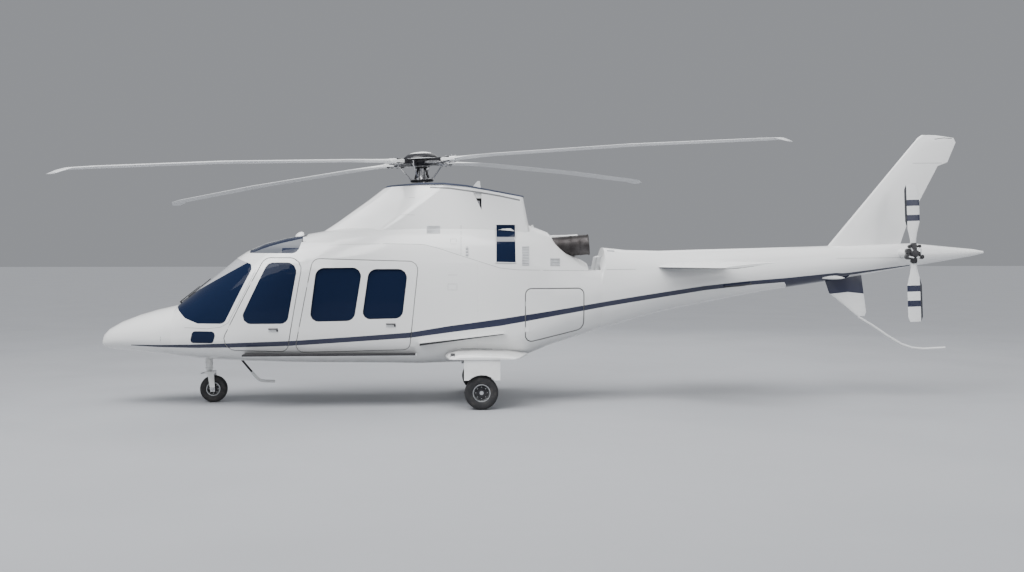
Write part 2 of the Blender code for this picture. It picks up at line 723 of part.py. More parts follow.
def make_cowls():
    for side, word in ((1, "left"), (-1, "right")):
        cowl = body("engine_cowl_" + word, HULL, 3.33, -0.386)
        keep(cowl, above_cowl_line(SKIN))
        cut(cowl, body("cutter", HULL, 3.05, -0.30, COWL_WALL))
        near, far = (-1.2, SKIN / 2) if side == 1 else (-SKIN / 2, 1.2)
        cut(cowl, box("cutter", (-1.0, near, 1.0), (4.0, far, 3.0)))
        low = (ROOF_CUTOUT_X[0], -ROOF_CUTOUT_Y, 2.2)
        cut(cowl, box("cutter", low, (ROOF_CUTOUT_X[1], ROOF_CUTOUT_Y, 3.0)))
        cut(cowl, exhaust_pipe("cutter", side, EXHAUST_RADIUS + SKIN))
        panel = body("panel", HULL, 1.0, 0.5, inset=-0.02)
        keep(panel, prism("cutter", rounded(INTAKE_PANEL), side * 0.3, side))
        cut(panel, body("cutter", HULL, 1.1, 0.4, inset=INTAKE_DEPTH))
        cut(cowl, panel)
        finish(cowl, WHITE, 0.25)


def exhaust_pipe(name, side, radius):
    flip = Vector((1, side, 1))
    return cylinder(name, EXHAUST_START * flip, EXHAUST_END * flip, radius)


def make_engines():
    engine_seat = cowl_line_z(ENGINE_X[1]) + SKIN
    for side, word in ((1, "left"), (-1, "right")):
        flip = Vector((1, side, 1))
        low = (ENGINE_X[0], ENGINE_Y[0], engine_seat)
        high = (ENGINE_X[1], ENGINE_Y[1], ENGINE_TOP)
        engine = side_box("engine_" + word, side, low, high)
        join(engine, exhaust_pipe("pipe", side, EXHAUST_RADIUS))
        reach = (EXHAUST_END - EXHAUST_START).normalized()
        bore_start = (EXHAUST_START + reach * 0.10) * flip
        bore_end = (EXHAUST_END + reach * 0.10) * flip
        cut(engine, cylinder("cutter", bore_start, bore_end, EXHAUST_RADIUS - EXHAUST_WALL))
        finish(engine, METAL, 0.5, 0.8)
    axis = mast_axis()
    low = (GEARBOX_X[0], GEARBOX_Y[0], cowl_line_z(GEARBOX_X[1]) + SKIN)
    gearbox = box("main_gearbox", low, (GEARBOX_X[1], GEARBOX_Y[1], GEARBOX_TOP))
    boss_foot, boss_top = HUB - axis * GEARBOX_BOSS_DEPTH, HUB + axis * (MAST_FOOT - SKIN)
    join(gearbox, cylinder("boss", boss_foot, boss_top, GEARBOX_BOSS_RADIUS))
    finish(gearbox, GREY, 0.5, 0.6)


def mast_axis():
    return Vector((math.sin(MAST_TILT), 0.0, math.cos(MAST_TILT)))


def fairing_ring(row, grow=0.0):
    """One level of the fairing: narrow rounded front, straight sides, square rear."""
    z, front, rear, half, front_half = row
    corners = [
        (front + grow, -front_half, 0.16),
        (front + grow, front_half, 0.16),
        (front - 0.75, half + grow, 0.40),
        (rear - grow, half + grow, 0.06),
        (rear - grow, -half - grow, 0.06),
        (front - 0.75, -half - grow, 0.40),
    ]
    return [(x, y, z) for x, y in rounded(corners, 0.0, 6)]


def top_band(low, high):
    """A layer that follows the fairing's top line, between two heights over it."""
    outline = [(x, z + low) for x, z in FAIRING_TOP] + [(x, z + high) for x, z in reversed(FAIRING_TOP)]
    return prism("band", outline, -0.8, 0.8)


def make_fairing():
    fairing = loft("mast_fairing", [fairing_ring(row) for row in FAIRING])
    cut(fairing, top_band(0.0, 0.5))
    cut(fairing, body("cutter", HULL, 3.9, -0.2, inset=-SEAT_GAP))
    hollow = loft("cutter", [fairing_ring(row, -FAIRING_WALL) for row in FAIRING])
    cut(hollow, top_band(-FAIRING_WALL, 0.5))
    cut(fairing, hollow)
    axis = mast_axis()
    cut(fairing, cylinder("cutter", HUB - axis * 0.75, HUB, MAST_HOLE_RADIUS))
    for side in (1, -1):
        cut(fairing, prism("cutter", NOTCH, side * NOTCH_Y, side))
    finish(fairing, WHITE, 0.25)

    plan = fairing_ring(FAIRING_DECK, DECK_OVERHANG)
    deck = loft("top_deck", [plan, [(x, y, z + 0.6) for x, y, z in plan]])
    keep(deck, top_band(SKIN, DECK_THICKNESS))
    cut(deck, cylinder("cutter", HUB - axis * 0.75, HUB, MAST_HOLE_RADIUS))
    finish(deck, GREY, 0.4)


def foil_outline(thickness):
    """A closed outline of (share of chord, height) points, leading edge first."""
    top = [(share, thickness / 2 * height) for share, height in FOIL]
    bottom = [(share, -height) for share, height in reversed(top[1:])]
    return top + bottom


def upright_foil(name, table):
    rings = []
    for z, lead, trail, thickness in table:
        rings.append([(lead + (trail - lead) * s, h, z) for s, h in foil_outline(thickness)])
    return loft(name, rings)


def boom_space():
    return body("cutter", BOOM, BOOM[0][0], TAIL_X, inset=-SEAT_GAP)


def make_tail():
    finish(cut(upright_foil("fin", FIN), boom_space()), WHITE, 0.25)
    finish(cut(upright_foil("ventral_fin", VENTRAL_FIN), boom_space()), WHITE, 0.25)
    skid = tube("tail_skid", [(x, 0, z) for x, z in TAIL_SKID], TAIL_SKID_RADIUS)
    skid_top = VENTRAL_FIN[0][0] - SKIN
    finish(cut(skid, box("cutter", (-4.6, -0.2, skid_top), (-4.0, 0.2, 1.3))), WHITE, 0.3)
    for side, word in ((1, "left"), (-1, "right")):
        rings = []
        for span, lead, trail, thickness in STABILISER:
            ring = []
            for share, height in foil_outline(thickness):
                z = STABILISER_LOW + STABILISER_RISE * share + height
                ring.append((lead + (trail - lead) * share, side * span, z))
            rings.append(ring)
        finish(cut(loft("stabiliser_" + word, rings), boom_space()), WHITE, 0.25)
    foot, end = (TAIL_HUB.x, 0.0, TAIL_HUB.z), (TAIL_HUB.x, TAIL_GEARBOX_END, TAIL_HUB.z)
    finish(cut(cylinder("tail_gearbox", foot, end, 0.075, 0.045), boom_space()), GREY, 0.4, 0.5)


def rotor_frame():
    """Places on the main rotor, from radius, forward and up to the tilted rotor."""
    axis = mast_axis()
    turn = Vector((0, 0, 1)).rotation_difference(axis).to_matrix().to_4x4()
    return Matrix.Translation(HUB) @ turn


def make_main_rotor():
    frame = rotor_frame()
    axis = mast_axis()
    finish(turned("rotor_mast", MAST_PROFILE, HUB, axis), METAL, 0.35, 0.8)
    hub = turned("rotor_hub", HUB_PROFILE, HUB, axis)
    socket_low = (BLADE_ROOT_RADIUS - SKIN, -SOCKET_HALF_WIDTH, BLADE_PLANE - SOCKET_HALF_HEIGHT)
    socket_high = (0.70, SOCKET_HALF_WIDTH, BLADE_PLANE + SOCKET_HALF_HEIGHT)
    for k in range(BLADE_COUNT):
        place = frame @ Matrix.Rotation(FIRST_BLADE_ANGLE + k * 2 * math.pi / BLADE_COUNT, 4, "Z")
        arm = box("arm", ARM_LOW, ARM_HIGH)
        arm.data.transform(place)
        join(hub, arm)
        socket = box("cutter", socket_low, socket_high)
        socket.data.transform(place)
        cut(hub, socket)
    finish(hub, BLACK, 0.4, 0.3)

    for k in range(BLADE_COUNT):
        place = frame @ Matrix.Rotation(FIRST_BLADE_ANGLE + k * 2 * math.pi / BLADE_COUNT, 4, "Z")
        rings = []
        for radius, ahead, behind, thickness in BLADE:
            reach = (radius - BLADE_BEND_RADIUS) / (ROTOR_RADIUS - BLADE_BEND_RADIUS)
            sag = BLADE_DROOP * max(0.0, reach) ** BLADE_BEND_POWER
            if radius == ROTOR_RADIUS:
                sag += TIP_DROP
            ring = []
            for share, height in foil_outline(thickness):
                ring.append((radius, ahead - (ahead + behind) * share, BLADE_PLANE - sag + height))
            rings.append(ring)
        blade = loft("main_blade_%d" % (k + 1), rings)
        blade.data.transform(place)
        finish(blade, WHITE, 0.35)


def tail_blade_ring(share, chord, grow=0.0):
    z = share * TAIL_ROTOR_RADIUS
    half, thick = chord / 2 + grow, TAIL_BLADE_THICKNESS / 2 + grow
    shape = [(1.0, 0), (0.6, 1), (-0.5, 1), (-1.0, 0), (-0.5, -1), (0.6, -1)]
    return [(half * x, thick * y, z) for x, y in shape]


def make_tail_rotor():
    place = Matrix.Translation(TAIL_HUB) @ Matrix.Rotation(TAIL_ROTOR_LEAN, 4, "Y")
    rows = [(-s, c) for s, c in reversed(TAIL_BLADE[1:])] + TAIL_BLADE
    blades = loft("tail_blades", [tail_blade_ring(s, c) for s, c in rows])
    blades.data.transform(place)
    finish(blades, WHITE, 0.35)
    half = TAIL_HUB_HALF
    hub = box("tail_hub", -half, half)
    join(hub, cylinder("shaft", (0, -TAIL_SHAFT_REACH, 0), (0, -0.03, 0), TAIL_SHAFT_RADIUS))
    slot = loft("cutter", [tail_blade_ring(s, TAIL_BLADE[0][1], SKIN) for s in (-0.25, 0.25)])
    cut(hub, slot)
    hub.data.transform(place)
    finish(hub, BLACK, 0.4, 0.3)


def wheel(name, centre, width, tyre_radius, rim_radius):
    """A tyre and its rim as one turned body, with a bore for the axle."""
    bore = AXLE_RADIUS + AXLE_PLAY
    half = width / 2
    outer = [
        (bore, 0.55), (rim_radius * 0.80, 0.45), (rim_radius, 0.80), (tyre_radius * 0.80, 1.0),
        (tyre_radius * 0.94, 0.85), (tyre_radius, 0.45),
    ]
    profile = [(r, -half * w) for r, w in outer] + [(r, half * w) for r, w in reversed(outer)]
    finish(turned(name, profile, centre, (0, 1, 0)), BLACK, 0.8)


def make_main_leg(side, word):
    centre = MAIN_WHEEL * Vector((1, side, 1))
    top = SPONSON_LOW - SKIN
    foot, head = (centre.x, side * OLEO_Y, OLEO_LOW), (centre.x, side * OLEO_Y, top)
    leg = cylinder("main_leg_" + word, foot, head, OLEO_RADIUS)
    axle_end = (centre.x, side * (MAIN_WHEEL.y + MAIN_WHEEL_WIDTH * 0.30), centre.z)
    join(leg, cylinder("axle", (centre.x, side * OLEO_Y, centre.z), axle_end, AXLE_RADIUS))
    low, high = (SHELF_X[0], SHELF_Y[0], SHELF_LOW), (SHELF_X[1], SHELF_Y[1], top)
    join(leg, side_box("shelf", side, low, high))
    low, high = (GEAR_DOOR_X[0], GEAR_DOOR_Y[0], GEAR_DOOR_LOW), (GEAR_DOOR_X[1], GEAR_DOOR_Y[1], top)
    flap = side_box("flap", side, low, high)
    arch_start, arch_end = (centre.x, side * 1.10, centre.z), (centre.x, side * 1.25, centre.z)
    cut(flap, cylinder("cutter", arch_start, arch_end, ARCH_RADIUS))
    finish(join(leg, flap), WHITE, 0.3)
    wheel("main_wheel_" + word, centre, MAIN_WHEEL_WIDTH, MAIN_TYRE_RADIUS, 0.11)


def make_gear():
    for side, word in ((1, "left"), (-1, "right")):
        rings = []
        for y, lead, trail, thickness in SPONSON:
            ring = []
            for share, height in SPONSON_TOP:
                ring.append((lead + (trail - lead) * share, side * y, SPONSON_LOW + thickness * height))
            ring += [(trail, side * y, SPONSON_LOW), (lead, side * y, SPONSON_LOW)]
            rings.append(ring)
        pod = loft("sponson_" + word, rings)
        strake = prism("strake_" + word, STRAKE, side * STRAKE_Y[0], side * STRAKE_Y[1])
        low, high = (STEP_X[0], STEP_Y[0], STEP_Z[0]), (STEP_X[1], STEP_Y[1], STEP_Z[1])
        step = side_box("step_" + word, side, low, high)
        for piece, colour in ((pod, WHITE), (strake, WHITE), (step, BLACK)):
            cut(piece, body("cutter", HULL, 4.4, BOOM_FRONT_X, inset=-SEAT_GAP))
            finish(piece, colour, 0.3)
        foot = JACK_PAD * Vector((1, side, 1))
        join(pod, cylinder("pad", foot, (foot.x, foot.y, SPONSON_LOW + 0.01), JACK_PAD_RADIUS))
        make_main_leg(side, word)

    leg = cylinder("nose_leg", (STEER_X, 0, NOSE_LEG_LOW), (STEER_X, 0, 0.80), NOSE_LEG_RADIUS)
    cut(leg, body("cutter", HULL, 4.95, 4.3, inset=-SKIN))
    finish(leg, WHITE, 0.3)
    centre = NOSE_WHEEL
    inside = NOSE_WHEEL_WIDTH / 2 + FORK_CLEARANCE
    outside = inside + FORK_THICKNESS
    pin_top = (STEER_X, 0, NOSE_LEG_LOW - BOSS_GAP)
    fork = cylinder("nose_fork", (STEER_X, 0, CROWN_Z[0]), pin_top, FORK_RADIUS)
    join(fork, box("crown", (CROWN_X[0], -outside, CROWN_Z[0]), (CROWN_X[1], outside, CROWN_Z[1])))
    foot = centre.z - FORK_FOOT_DROP
    arm = [(CROWN_X[0], CROWN_Z[1]), (centre.x - 0.028, foot), (centre.x + 0.028, foot), (4.675, CROWN_Z[1])]
    for side in (1, -1):
        join(fork, prism("arm", arm, side * inside, side * outside))
    axle_start, axle_end = (centre.x, -outside + 0.002, centre.z), (centre.x, outside - 0.002, centre.z)
    join(fork, cylinder("axle", axle_start, axle_end, AXLE_RADIUS))
    finish(fork, GREY, 0.4, 0.5)
    wheel("nose_wheel", centre, NOSE_WHEEL_WIDTH, NOSE_TYRE_RADIUS, 0.085)


def seat(name, x, y, half):
    """A seat standing on the cabin floor."""
    foot = FLOOR_Z + SKIN
    low, high = (x + SEAT_X[0], y - half, foot), (x + SEAT_X[1], y + half, foot + SEAT_HEIGHT)
    base = box(name, low, high)
    join(base, prism("back", [(x + along, z) for along, z in SEAT_BACK], y - half, y + half))
    finish(base, LEATHER, 0.6)


def make_fittings():
    x, y, half = PILOT_SEAT
    seat("pilot_seat_left", x, y, half)
    seat("pilot_seat_right", x, -y, half)
    seat("cabin_bench", *BENCH)
    panel = prism("instrument_panel", CONSOLE, -CONSOLE_HALF_WIDTH, CONSOLE_HALF_WIDTH)
    join(panel, prism("top", COAMING, -COAMING_HALF_WIDTH, COAMING_HALF_WIDTH))
    finish(panel, BLACK, 0.7)


def main():
    for old in list(bpy.data.objects):
        bpy.data.objects.remove(old)
    make_nose()
    make_cabin()
    make_doors()
    make_rear_fuselage()
    make_boom()
    make_cowls()
    make_engines()
    make_fairing()
    make_tail()
    make_main_rotor()
    make_tail_rotor()
    make_gear()
    make_fittings()


main()
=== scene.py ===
"""Look of a parked light twin-engine helicopter: paint, glass, fittings, floor, lights and camera."""

import json
from itertools import groupby
from math import cos, hypot, pi, radians, sin, tan

import bpy
from mathutils import Matrix, Vector
from mathutils.bvhtree import BVHTree

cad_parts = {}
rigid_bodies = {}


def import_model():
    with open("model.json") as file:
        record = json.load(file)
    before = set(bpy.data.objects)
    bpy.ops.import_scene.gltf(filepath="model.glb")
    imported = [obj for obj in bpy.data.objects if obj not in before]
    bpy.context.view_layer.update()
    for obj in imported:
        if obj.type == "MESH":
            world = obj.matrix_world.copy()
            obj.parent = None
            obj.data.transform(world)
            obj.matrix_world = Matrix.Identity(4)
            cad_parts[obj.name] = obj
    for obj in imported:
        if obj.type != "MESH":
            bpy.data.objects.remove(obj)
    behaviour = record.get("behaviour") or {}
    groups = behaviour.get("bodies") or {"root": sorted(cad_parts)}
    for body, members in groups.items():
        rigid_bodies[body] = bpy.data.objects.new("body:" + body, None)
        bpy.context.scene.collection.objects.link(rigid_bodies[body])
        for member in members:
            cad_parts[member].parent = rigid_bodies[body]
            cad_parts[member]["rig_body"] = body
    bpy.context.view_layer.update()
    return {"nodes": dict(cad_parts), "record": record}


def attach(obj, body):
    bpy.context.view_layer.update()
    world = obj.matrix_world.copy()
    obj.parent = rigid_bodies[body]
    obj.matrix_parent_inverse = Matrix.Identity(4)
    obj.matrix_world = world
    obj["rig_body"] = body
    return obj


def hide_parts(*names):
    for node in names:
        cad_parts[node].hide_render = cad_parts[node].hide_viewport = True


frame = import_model()
NODES = frame["nodes"]

# The photograph's camera, in the model's frame
FOCAL_PIXELS = 1203.0
SENSOR = 36.0
FLOOR_HALF = 150.0
PICTURE = (1024, 572)
LEVEL_PIXEL = (546.4, 252.0)
EYE = Vector((1.5315, 16.398, 2.004))
AHEAD = Vector((-0.0845, -0.99642, 0.0)).normalized()
RIGHT = AHEAD.cross(Vector((0, 0, 1)))
UP = Vector((0, 0, 1))

# Places that the parts share
HUB = Vector((1.849, 0.0, 3.251))
MAST_TILT = radians(3.15)
FIRST_BLADE = radians(49.6)
TAIL_HUB = Vector((-4.813, 0.55, 1.988))
TAIL_LEAN = radians(2.0)
TAIL_RADIUS = 0.93
MAIN_WHEEL = Vector((1.061, 1.075, 0.2151))
NOSE_WHEEL = Vector((4.600, 0.0, 0.1795))
STEER_X = 4.660
SIDES = ((1, "left"), (-1, "right"))

# Stripe edges in the photograph, nose to tail. Columns: pixel across, upper edge, lower edge
STRIPE = [
    (131, 344.6, 345.4),
    (160, 344.9, 347.1),
    (195, 344.4, 347.9),
    (230, 343.2, 347.6),
    (290, 341.0, 345.9),
    (350, 337.0, 342.0),
    (410, 332.5, 337.9),
    (450, 325.9, 332.4),
    (500, 319.0, 326.0),
    (560, 309.5, 315.0),
    (600, 302.6, 307.6),
    (645, 295.1, 300.0),
    (705, 285.8, 290.2),
    (748, 281.1, 285.2),
    (786, 278.0, 282.0),
]
# Height of the middle of the body, for telling its inner faces. Columns: x, z
MIDDLE = [(-0.6, 1.75), (0.5, 1.40), (1.5, 1.30), (3.5, 1.25), (4.4, 0.98), (5.1, 0.93)]
CARPET_TOP = 0.672
STRIPE_X = (-6.1, 6.1)
STRIPE_Z = 4.0

# The pale painted reflection under the dark edge of the window over the pilots, in pixels
PALE_REFLECTION_EDGE = [(250, 252.8), (254, 252.2), (262, 249.0), (272, 245.7), (283, 242.8), (301, 238.8)]
PALE_REFLECTION_POCKET = (282.6, 248.0)


# Small tools


def along_pixel(px, py):
    """The direction of a pixel of the photograph from the camera."""
    return (
        AHEAD + RIGHT * ((px - LEVEL_PIXEL[0]) / FOCAL_PIXELS) + UP * ((LEVEL_PIXEL[1] - py) / FOCAL_PIXELS)
    ).normalized()


class Skins:
    """The outer surfaces of some nodes, for setting things on them."""

    def __init__(self, names):
        points, faces, self.owner = [], [], []
        for name in names:
            mesh = NODES[name].data
            base = len(points)
            points += [v.co.copy() for v in mesh.vertices]
            faces += [[base + i for i in face.vertices] for face in mesh.polygons]
            self.owner += [name] * len(mesh.polygons)
        self.tree = BVHTree.FromPolygons(points, faces)

    def cast(self, start, direction):
        place, normal, index, _ = self.tree.ray_cast(start, direction)
        if place is None:
            raise ValueError("nothing at %s towards %s" % (tuple(start), tuple(direction)))
        return place, normal, self.owner[index]

    def pixel(self, px, py, side=1):
        """The place on the skin behind a pixel, or its mirror image on the right (side -1)."""
        place, normal, owner = self.cast(EYE, along_pixel(px, py))
        if side < 0:
            return self.flank(place.x, place.z, -1)
        return place, normal, owner

    def flank(self, x, z, side):
        return self.cast(Vector((x, side * 3.0, z)), Vector((0, -side, 0)))

    def above(self, x, y):
        return self.cast(Vector((x, y, 5.0)), Vector((0, 0, -1)))


def collar(inner, outer, half, edge):
    """The outline of a ring for turning: half its height inside and at its outer edge."""
    return [(inner, -half), (outer, -edge), (outer, edge), (inner, half)]


def circle(count):
    """The cosine and sine of each step round a circle."""
    return [(cos(2 * pi * k / count), sin(2 * pi * k / count)) for k in range(count)]


def put(name, data):
    """A new object in the scene."""
    made = bpy.data.objects.new(name, data)
    bpy.context.scene.collection.objects.link(made)
    return made


class Shape:
    """Points and faces gathered into one piece."""

    def __init__(self):
        self.points, self.faces = [], []

    def add(self, points, faces, place=None):
        base = len(self.points)
        self.points += [place @ Vector(p) if place else Vector(p) for p in points]
        self.faces += [tuple(base + i for i in face) for face in faces]
        return self

    def loft(self, rings, place=None, closed=False):
        """Skin over rings with the same number of points, capped at both ends unless it closes on itself."""
        count, points = len(rings[0]), [p for ring in rings for p in ring]
        faces = [] if closed else [tuple(range(count))[::-1], tuple(range(len(points) - count, len(points)))]
        for r in range(len(rings) if closed else len(rings) - 1):
            here, there = r * count, (r + 1) % len(rings) * count
            for i in range(count):
                faces.append((here + i, here + (i + 1) % count, there + (i + 1) % count, there + i))
        return self.add(points, faces, place)

    def box(self, centre, size, place=None):
        x, y, z = Vector(size) / 2
        corners = [(-x, -y), (x, -y), (x, y), (-x, y)]
        rings = [[Vector(centre) + Vector((a, b, h)) for a, b in corners] for h in (-z, z)]
        return self.loft(rings, place)

    def turn(self, profile, centre=(0, 0, 0), axis=(0, 0, 1), sides=32, place=None):
        """A closed profile of (radius, distance along the axis) points turned about an axis."""
        turned = Vector((0, 0, 1)).rotation_difference(Vector(axis)).to_matrix()
        rings = []
        for c, s in circle(sides):
            rings.append([Vector(centre) + turned @ Vector((r * c, r * s, h)) for r, h in profile])
        return self.loft(rings, place, closed=True)

    def rod(self, start, end, radius, end_radius=None, sides=16, place=None):
        start, axis = Vector(start), Vector(end) - Vector(start)
        turned = Vector((0, 0, 1)).rotation_difference(axis.normalized()).to_matrix()
        rings = []
        for along, size in ((0, radius), (axis.length, end_radius or radius)):
            rings.append([start + turned @ Vector((size * c, size * s, along)) for c, s in circle(sides)])
        return self.loft(rings, place)

    def pipe(self, route, radius, sides=10, place=None):
        """A round bar along a route."""
        route = [Vector(p) for p in route]
        rings, side = [], None
        for i, point in enumerate(route):
            along = (route[min(i + 1, len(route) - 1)] - route[max(i - 1, 0)]).normalized()
            if side is None:
                side = along.orthogonal()
            side = (side - along * side.dot(along)).normalized()
            up = along.cross(side)
            size = radius[i] if isinstance(radius, list) else radius
            rings.append([point + size * (c * side + s * up) for c, s in circle(sides)])
        return self.loft(rings, place)

    def build(self, name, material):
        mesh = bpy.data.meshes.new(name)
        mesh.from_pydata([tuple(p) for p in self.points], [], self.faces)
        mesh.materials.append(material)
        return put(name, mesh)

    def piece(self, name, material, body="root", slot=None, bevel=0.0, sharp=35):
        """One smooth-shaded object, riding on a body."""
        made = self.build(name, material)
        made.data.shade_smooth()
        made.data.set_sharp_from_angle(angle=radians(sharp))
        if bevel:
            rounding = made.modifiers.new("rounding", "BEVEL")
            rounding.width, rounding.segments, rounding.limit_method = bevel, 2, "ANGLE"
            rounding.harden_normals = True
        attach(made, body)
        return made


def both(*names):
    """The left and right of each name."""
    return [name + end for name in names for end in ("_left", "_right")]


SKIN_NODES = [
    "nose_cone", "cabin_shell", "rear_fuselage", "tail_boom", *both("engine_cowl"), "mast_fairing",
    *both("pilot_door", "cabin_door"), "baggage_door", "fin", *both("sponson"), "windscreen",
    *both("overhead_window", "chin_window", "pilot_window", "cabin_window"), "top_deck",
]
skins = Skins([n for n in SKIN_NODES if "window" not in n and n != "windscreen"])
everything = Skins(SKIN_NODES)
sponsons = Skins(both("sponson", "strake"))


def arc(route, steps=6):
    """A smooth curve through a route's points."""
    route = [Vector(p) for p in route]
    ends = [route[0] * 2 - route[1]] + route + [route[-1] * 2 - route[-2]]
    curve = []
    for i in range(1, len(ends) - 2):
        a, b, c, d = ends[i - 1 : i + 3]
        for k in range(steps):
            t = k / steps
            bend = (a * 2 - b * 5 + c * 4 - d) * t**2 + (b * 3 - a - c * 3 + d) * t**3
            curve.append((b * 2 + (c - a) * t + bend) / 2)
    return curve + [route[-1]]


def rounded(corners, steps=5):
    """A closed outline of 2-D points from (x, y, radius) corners."""
    outline = []
    for i in range(len(corners)):
        here = Vector(corners[i][:2])
        before = (Vector(corners[i - 1][:2]) - here).normalized()
        after = (Vector(corners[(i + 1) % len(corners)][:2]) - here).normalized()
        half = before.angle(after) / 2
        reach = corners[i][2] / tan(half)
        first, last = here + before * reach, here + after * reach
        centre = here + (before + after).normalized() * corners[i][2] / sin(half)
        for k in range(steps + 1):
            spoke = (first - centre).lerp(last - centre, k / steps).normalized()
            outline.append(centre + spoke * corners[i][2])
    return outline


# Materials


def add_node(tree, kind, inputs, **settings):
    node = tree.nodes.new(kind)
    for key, value in settings.items():
        setattr(node, key, value)
    for key, value in inputs.items():
        if isinstance(value, bpy.types.NodeSocket):
            tree.links.new(value, node.inputs[key])
        else:
            node.inputs[key].default_value = value
    return node


class Look:
    """One material, with short calls for its nodes."""

    def __init__(self, name, colour, roughness, metallic=0.0, **fixed):
        self.made = bpy.data.materials.new(name)
        self.made.use_nodes = True
        self.tree = self.made.node_tree
        self.shader = self.tree.nodes["Principled BSDF"]
        self.shader.inputs["Base Color"].default_value = (*colour, 1.0)
        self.shader.inputs["Roughness"].default_value = roughness
        self.shader.inputs["Metallic"].default_value = metallic
        for key, value in fixed.items():
            self.shader.inputs[key.replace("_", " ")].default_value = value
        self.spot = self.tree.nodes.new("ShaderNodeTexCoord")
        self.place = self.spot.outputs["Object"]
        self.x, self.y, self.z = self.node("SeparateXYZ", {0: self.place})

    def node(self, kind, inputs, **settings):
        """A new node's outputs."""
        return add_node(self.tree, "ShaderNode" + kind, inputs, **settings).outputs

    def sum(self, operation, a, b=0.0, c=0.0):
        """A Math node's result."""
        return self.node("Math", {0: a, 1: b, 2: c}, operation=operation)[0]

    def times(self, *values):
        """The product of values."""
        product = values[0]
        for value in values[1:]:
            product = self.sum("MULTIPLY", product, value)
        return product

    def over(self, a, b):
        return self.sum("GREATER_THAN", a, b)

    def under(self, a, b):
        return self.sum("LESS_THAN", a, b)

    def near(self, value, middle, reach):
        return self.sum("COMPARE", value, middle, reach)

    def span(self, value, low, high, start=0.0, end=1.0, kind="SMOOTHSTEP"):
        """A value's rise from start to end between two limits."""
        inputs = {"Value": value, "From Min": low, "From Max": high, "To Min": start, "To Max": end}
        return self.node("MapRange", inputs, interpolation_type=kind)[0]

    def noise(self, scale, detail=3.0, stretch=None):
        place = self.place
        if stretch:
            place = self.node("Mapping", {"Vector": place, "Scale": stretch})[0]
        return self.node("TexNoise", {"Vector": place, "Scale": scale, "Detail": detail})["Fac"]

    def cloud(self, noise, low, high, start=0.0, end=1.0):
        """A noise's rise from start to end between two limits."""
        return self.span(self.noise(*noise), low, high, start, end)

    def normal(self):
        """The surface's direction, split into x, y and z."""
        return self.node("SeparateXYZ", {0: self.spot.outputs["Normal"]})

    def blend(self, share, a, b):
        return self.node("Mix", {"Factor": share, "A": a, "B": b}, data_type="RGBA")["Result"]

    def tint(self, share, colour):
        """Paint another colour over the base, by a share."""
        base = self.shader.inputs["Base Color"]
        under = base.links[0].from_socket if base.links else base.default_value[:]
        self.tree.links.new(self.blend(share, under, (*colour, 1.0)), base)
        return self

    def rough(self, value):
        self.tree.links.new(value, self.shader.inputs["Roughness"])
        return self

    def bump(self, height, depth, strength=1.0):
        inputs = {"Height": height, "Distance": depth, "Strength": strength}
        before = self.shader.inputs["Normal"]
        if before.links:
            inputs["Normal"] = before.links[0].from_socket
        self.tree.links.new(self.node("Bump", inputs)["Normal"], before)
        return self


WHITE = (0.80, 0.805, 0.80)
NAVY = (0.010, 0.014, 0.042)


def curve_of_x(look, table):
    """A height that follows x by a table of (x, z) points."""
    share = look.span(look.x, STRIPE_X[0], STRIPE_X[1], kind="LINEAR")
    node = add_node(look.tree, "ShaderNodeFloatCurve", {"Value": share})
    curve = node.mapping.curves[0]
    points = sorted(((x - STRIPE_X[0]) / (STRIPE_X[1] - STRIPE_X[0]), z / STRIPE_Z) for x, z in table)
    curve.points[0].location, curve.points[1].location = points[0], points[-1]
    for point in points[1:-1]:
        curve.points.new(*point)
    for point in curve.points:
        point.handle_type = "VECTOR"
    node.mapping.update()
    return look.times(node.outputs[0], STRIPE_Z)


def inside_share(look, centre_z, depth=0.02):
    """1 on surfaces that face the middle of the body, 0 on its outer skin."""
    normal = look.normal()
    across = look.times(look.y, normal[1])
    rise = look.sum("SUBTRACT", look.z, centre_z)
    facing = look.sum("MULTIPLY_ADD", rise, normal[2], across)
    return look.under(facing, -depth)


def worn_white(look, dirt=0.05):
    """Clear-coated white with faint waves, a little grime low down and uneven gloss."""
    look.tint(look.cloud((1.3, 2.0), 0.35, 0.7, 0.0, 0.35), (0.75, 0.757, 0.76))
    grime = look.times(look.span(look.z, 0.95, 0.50), look.cloud((7.0, 6.0), 0.4, 0.75))
    look.tint(look.times(grime, dirt * 6), (0.52, 0.50, 0.46))
    look.rough(look.cloud((3.0, 5.0), 0.3, 0.75, 0.16, 0.27))
    look.bump(look.noise(0.9, 1.0), 0.004, 0.25)
    look.bump(look.noise(420.0, 1.0), 0.0001, 0.25)
    return look


def white_paint(name):
    look = Look(name, WHITE, 0.2, Coat_Weight=0.4, Coat_Roughness=0.05)
    return worn_white(look)


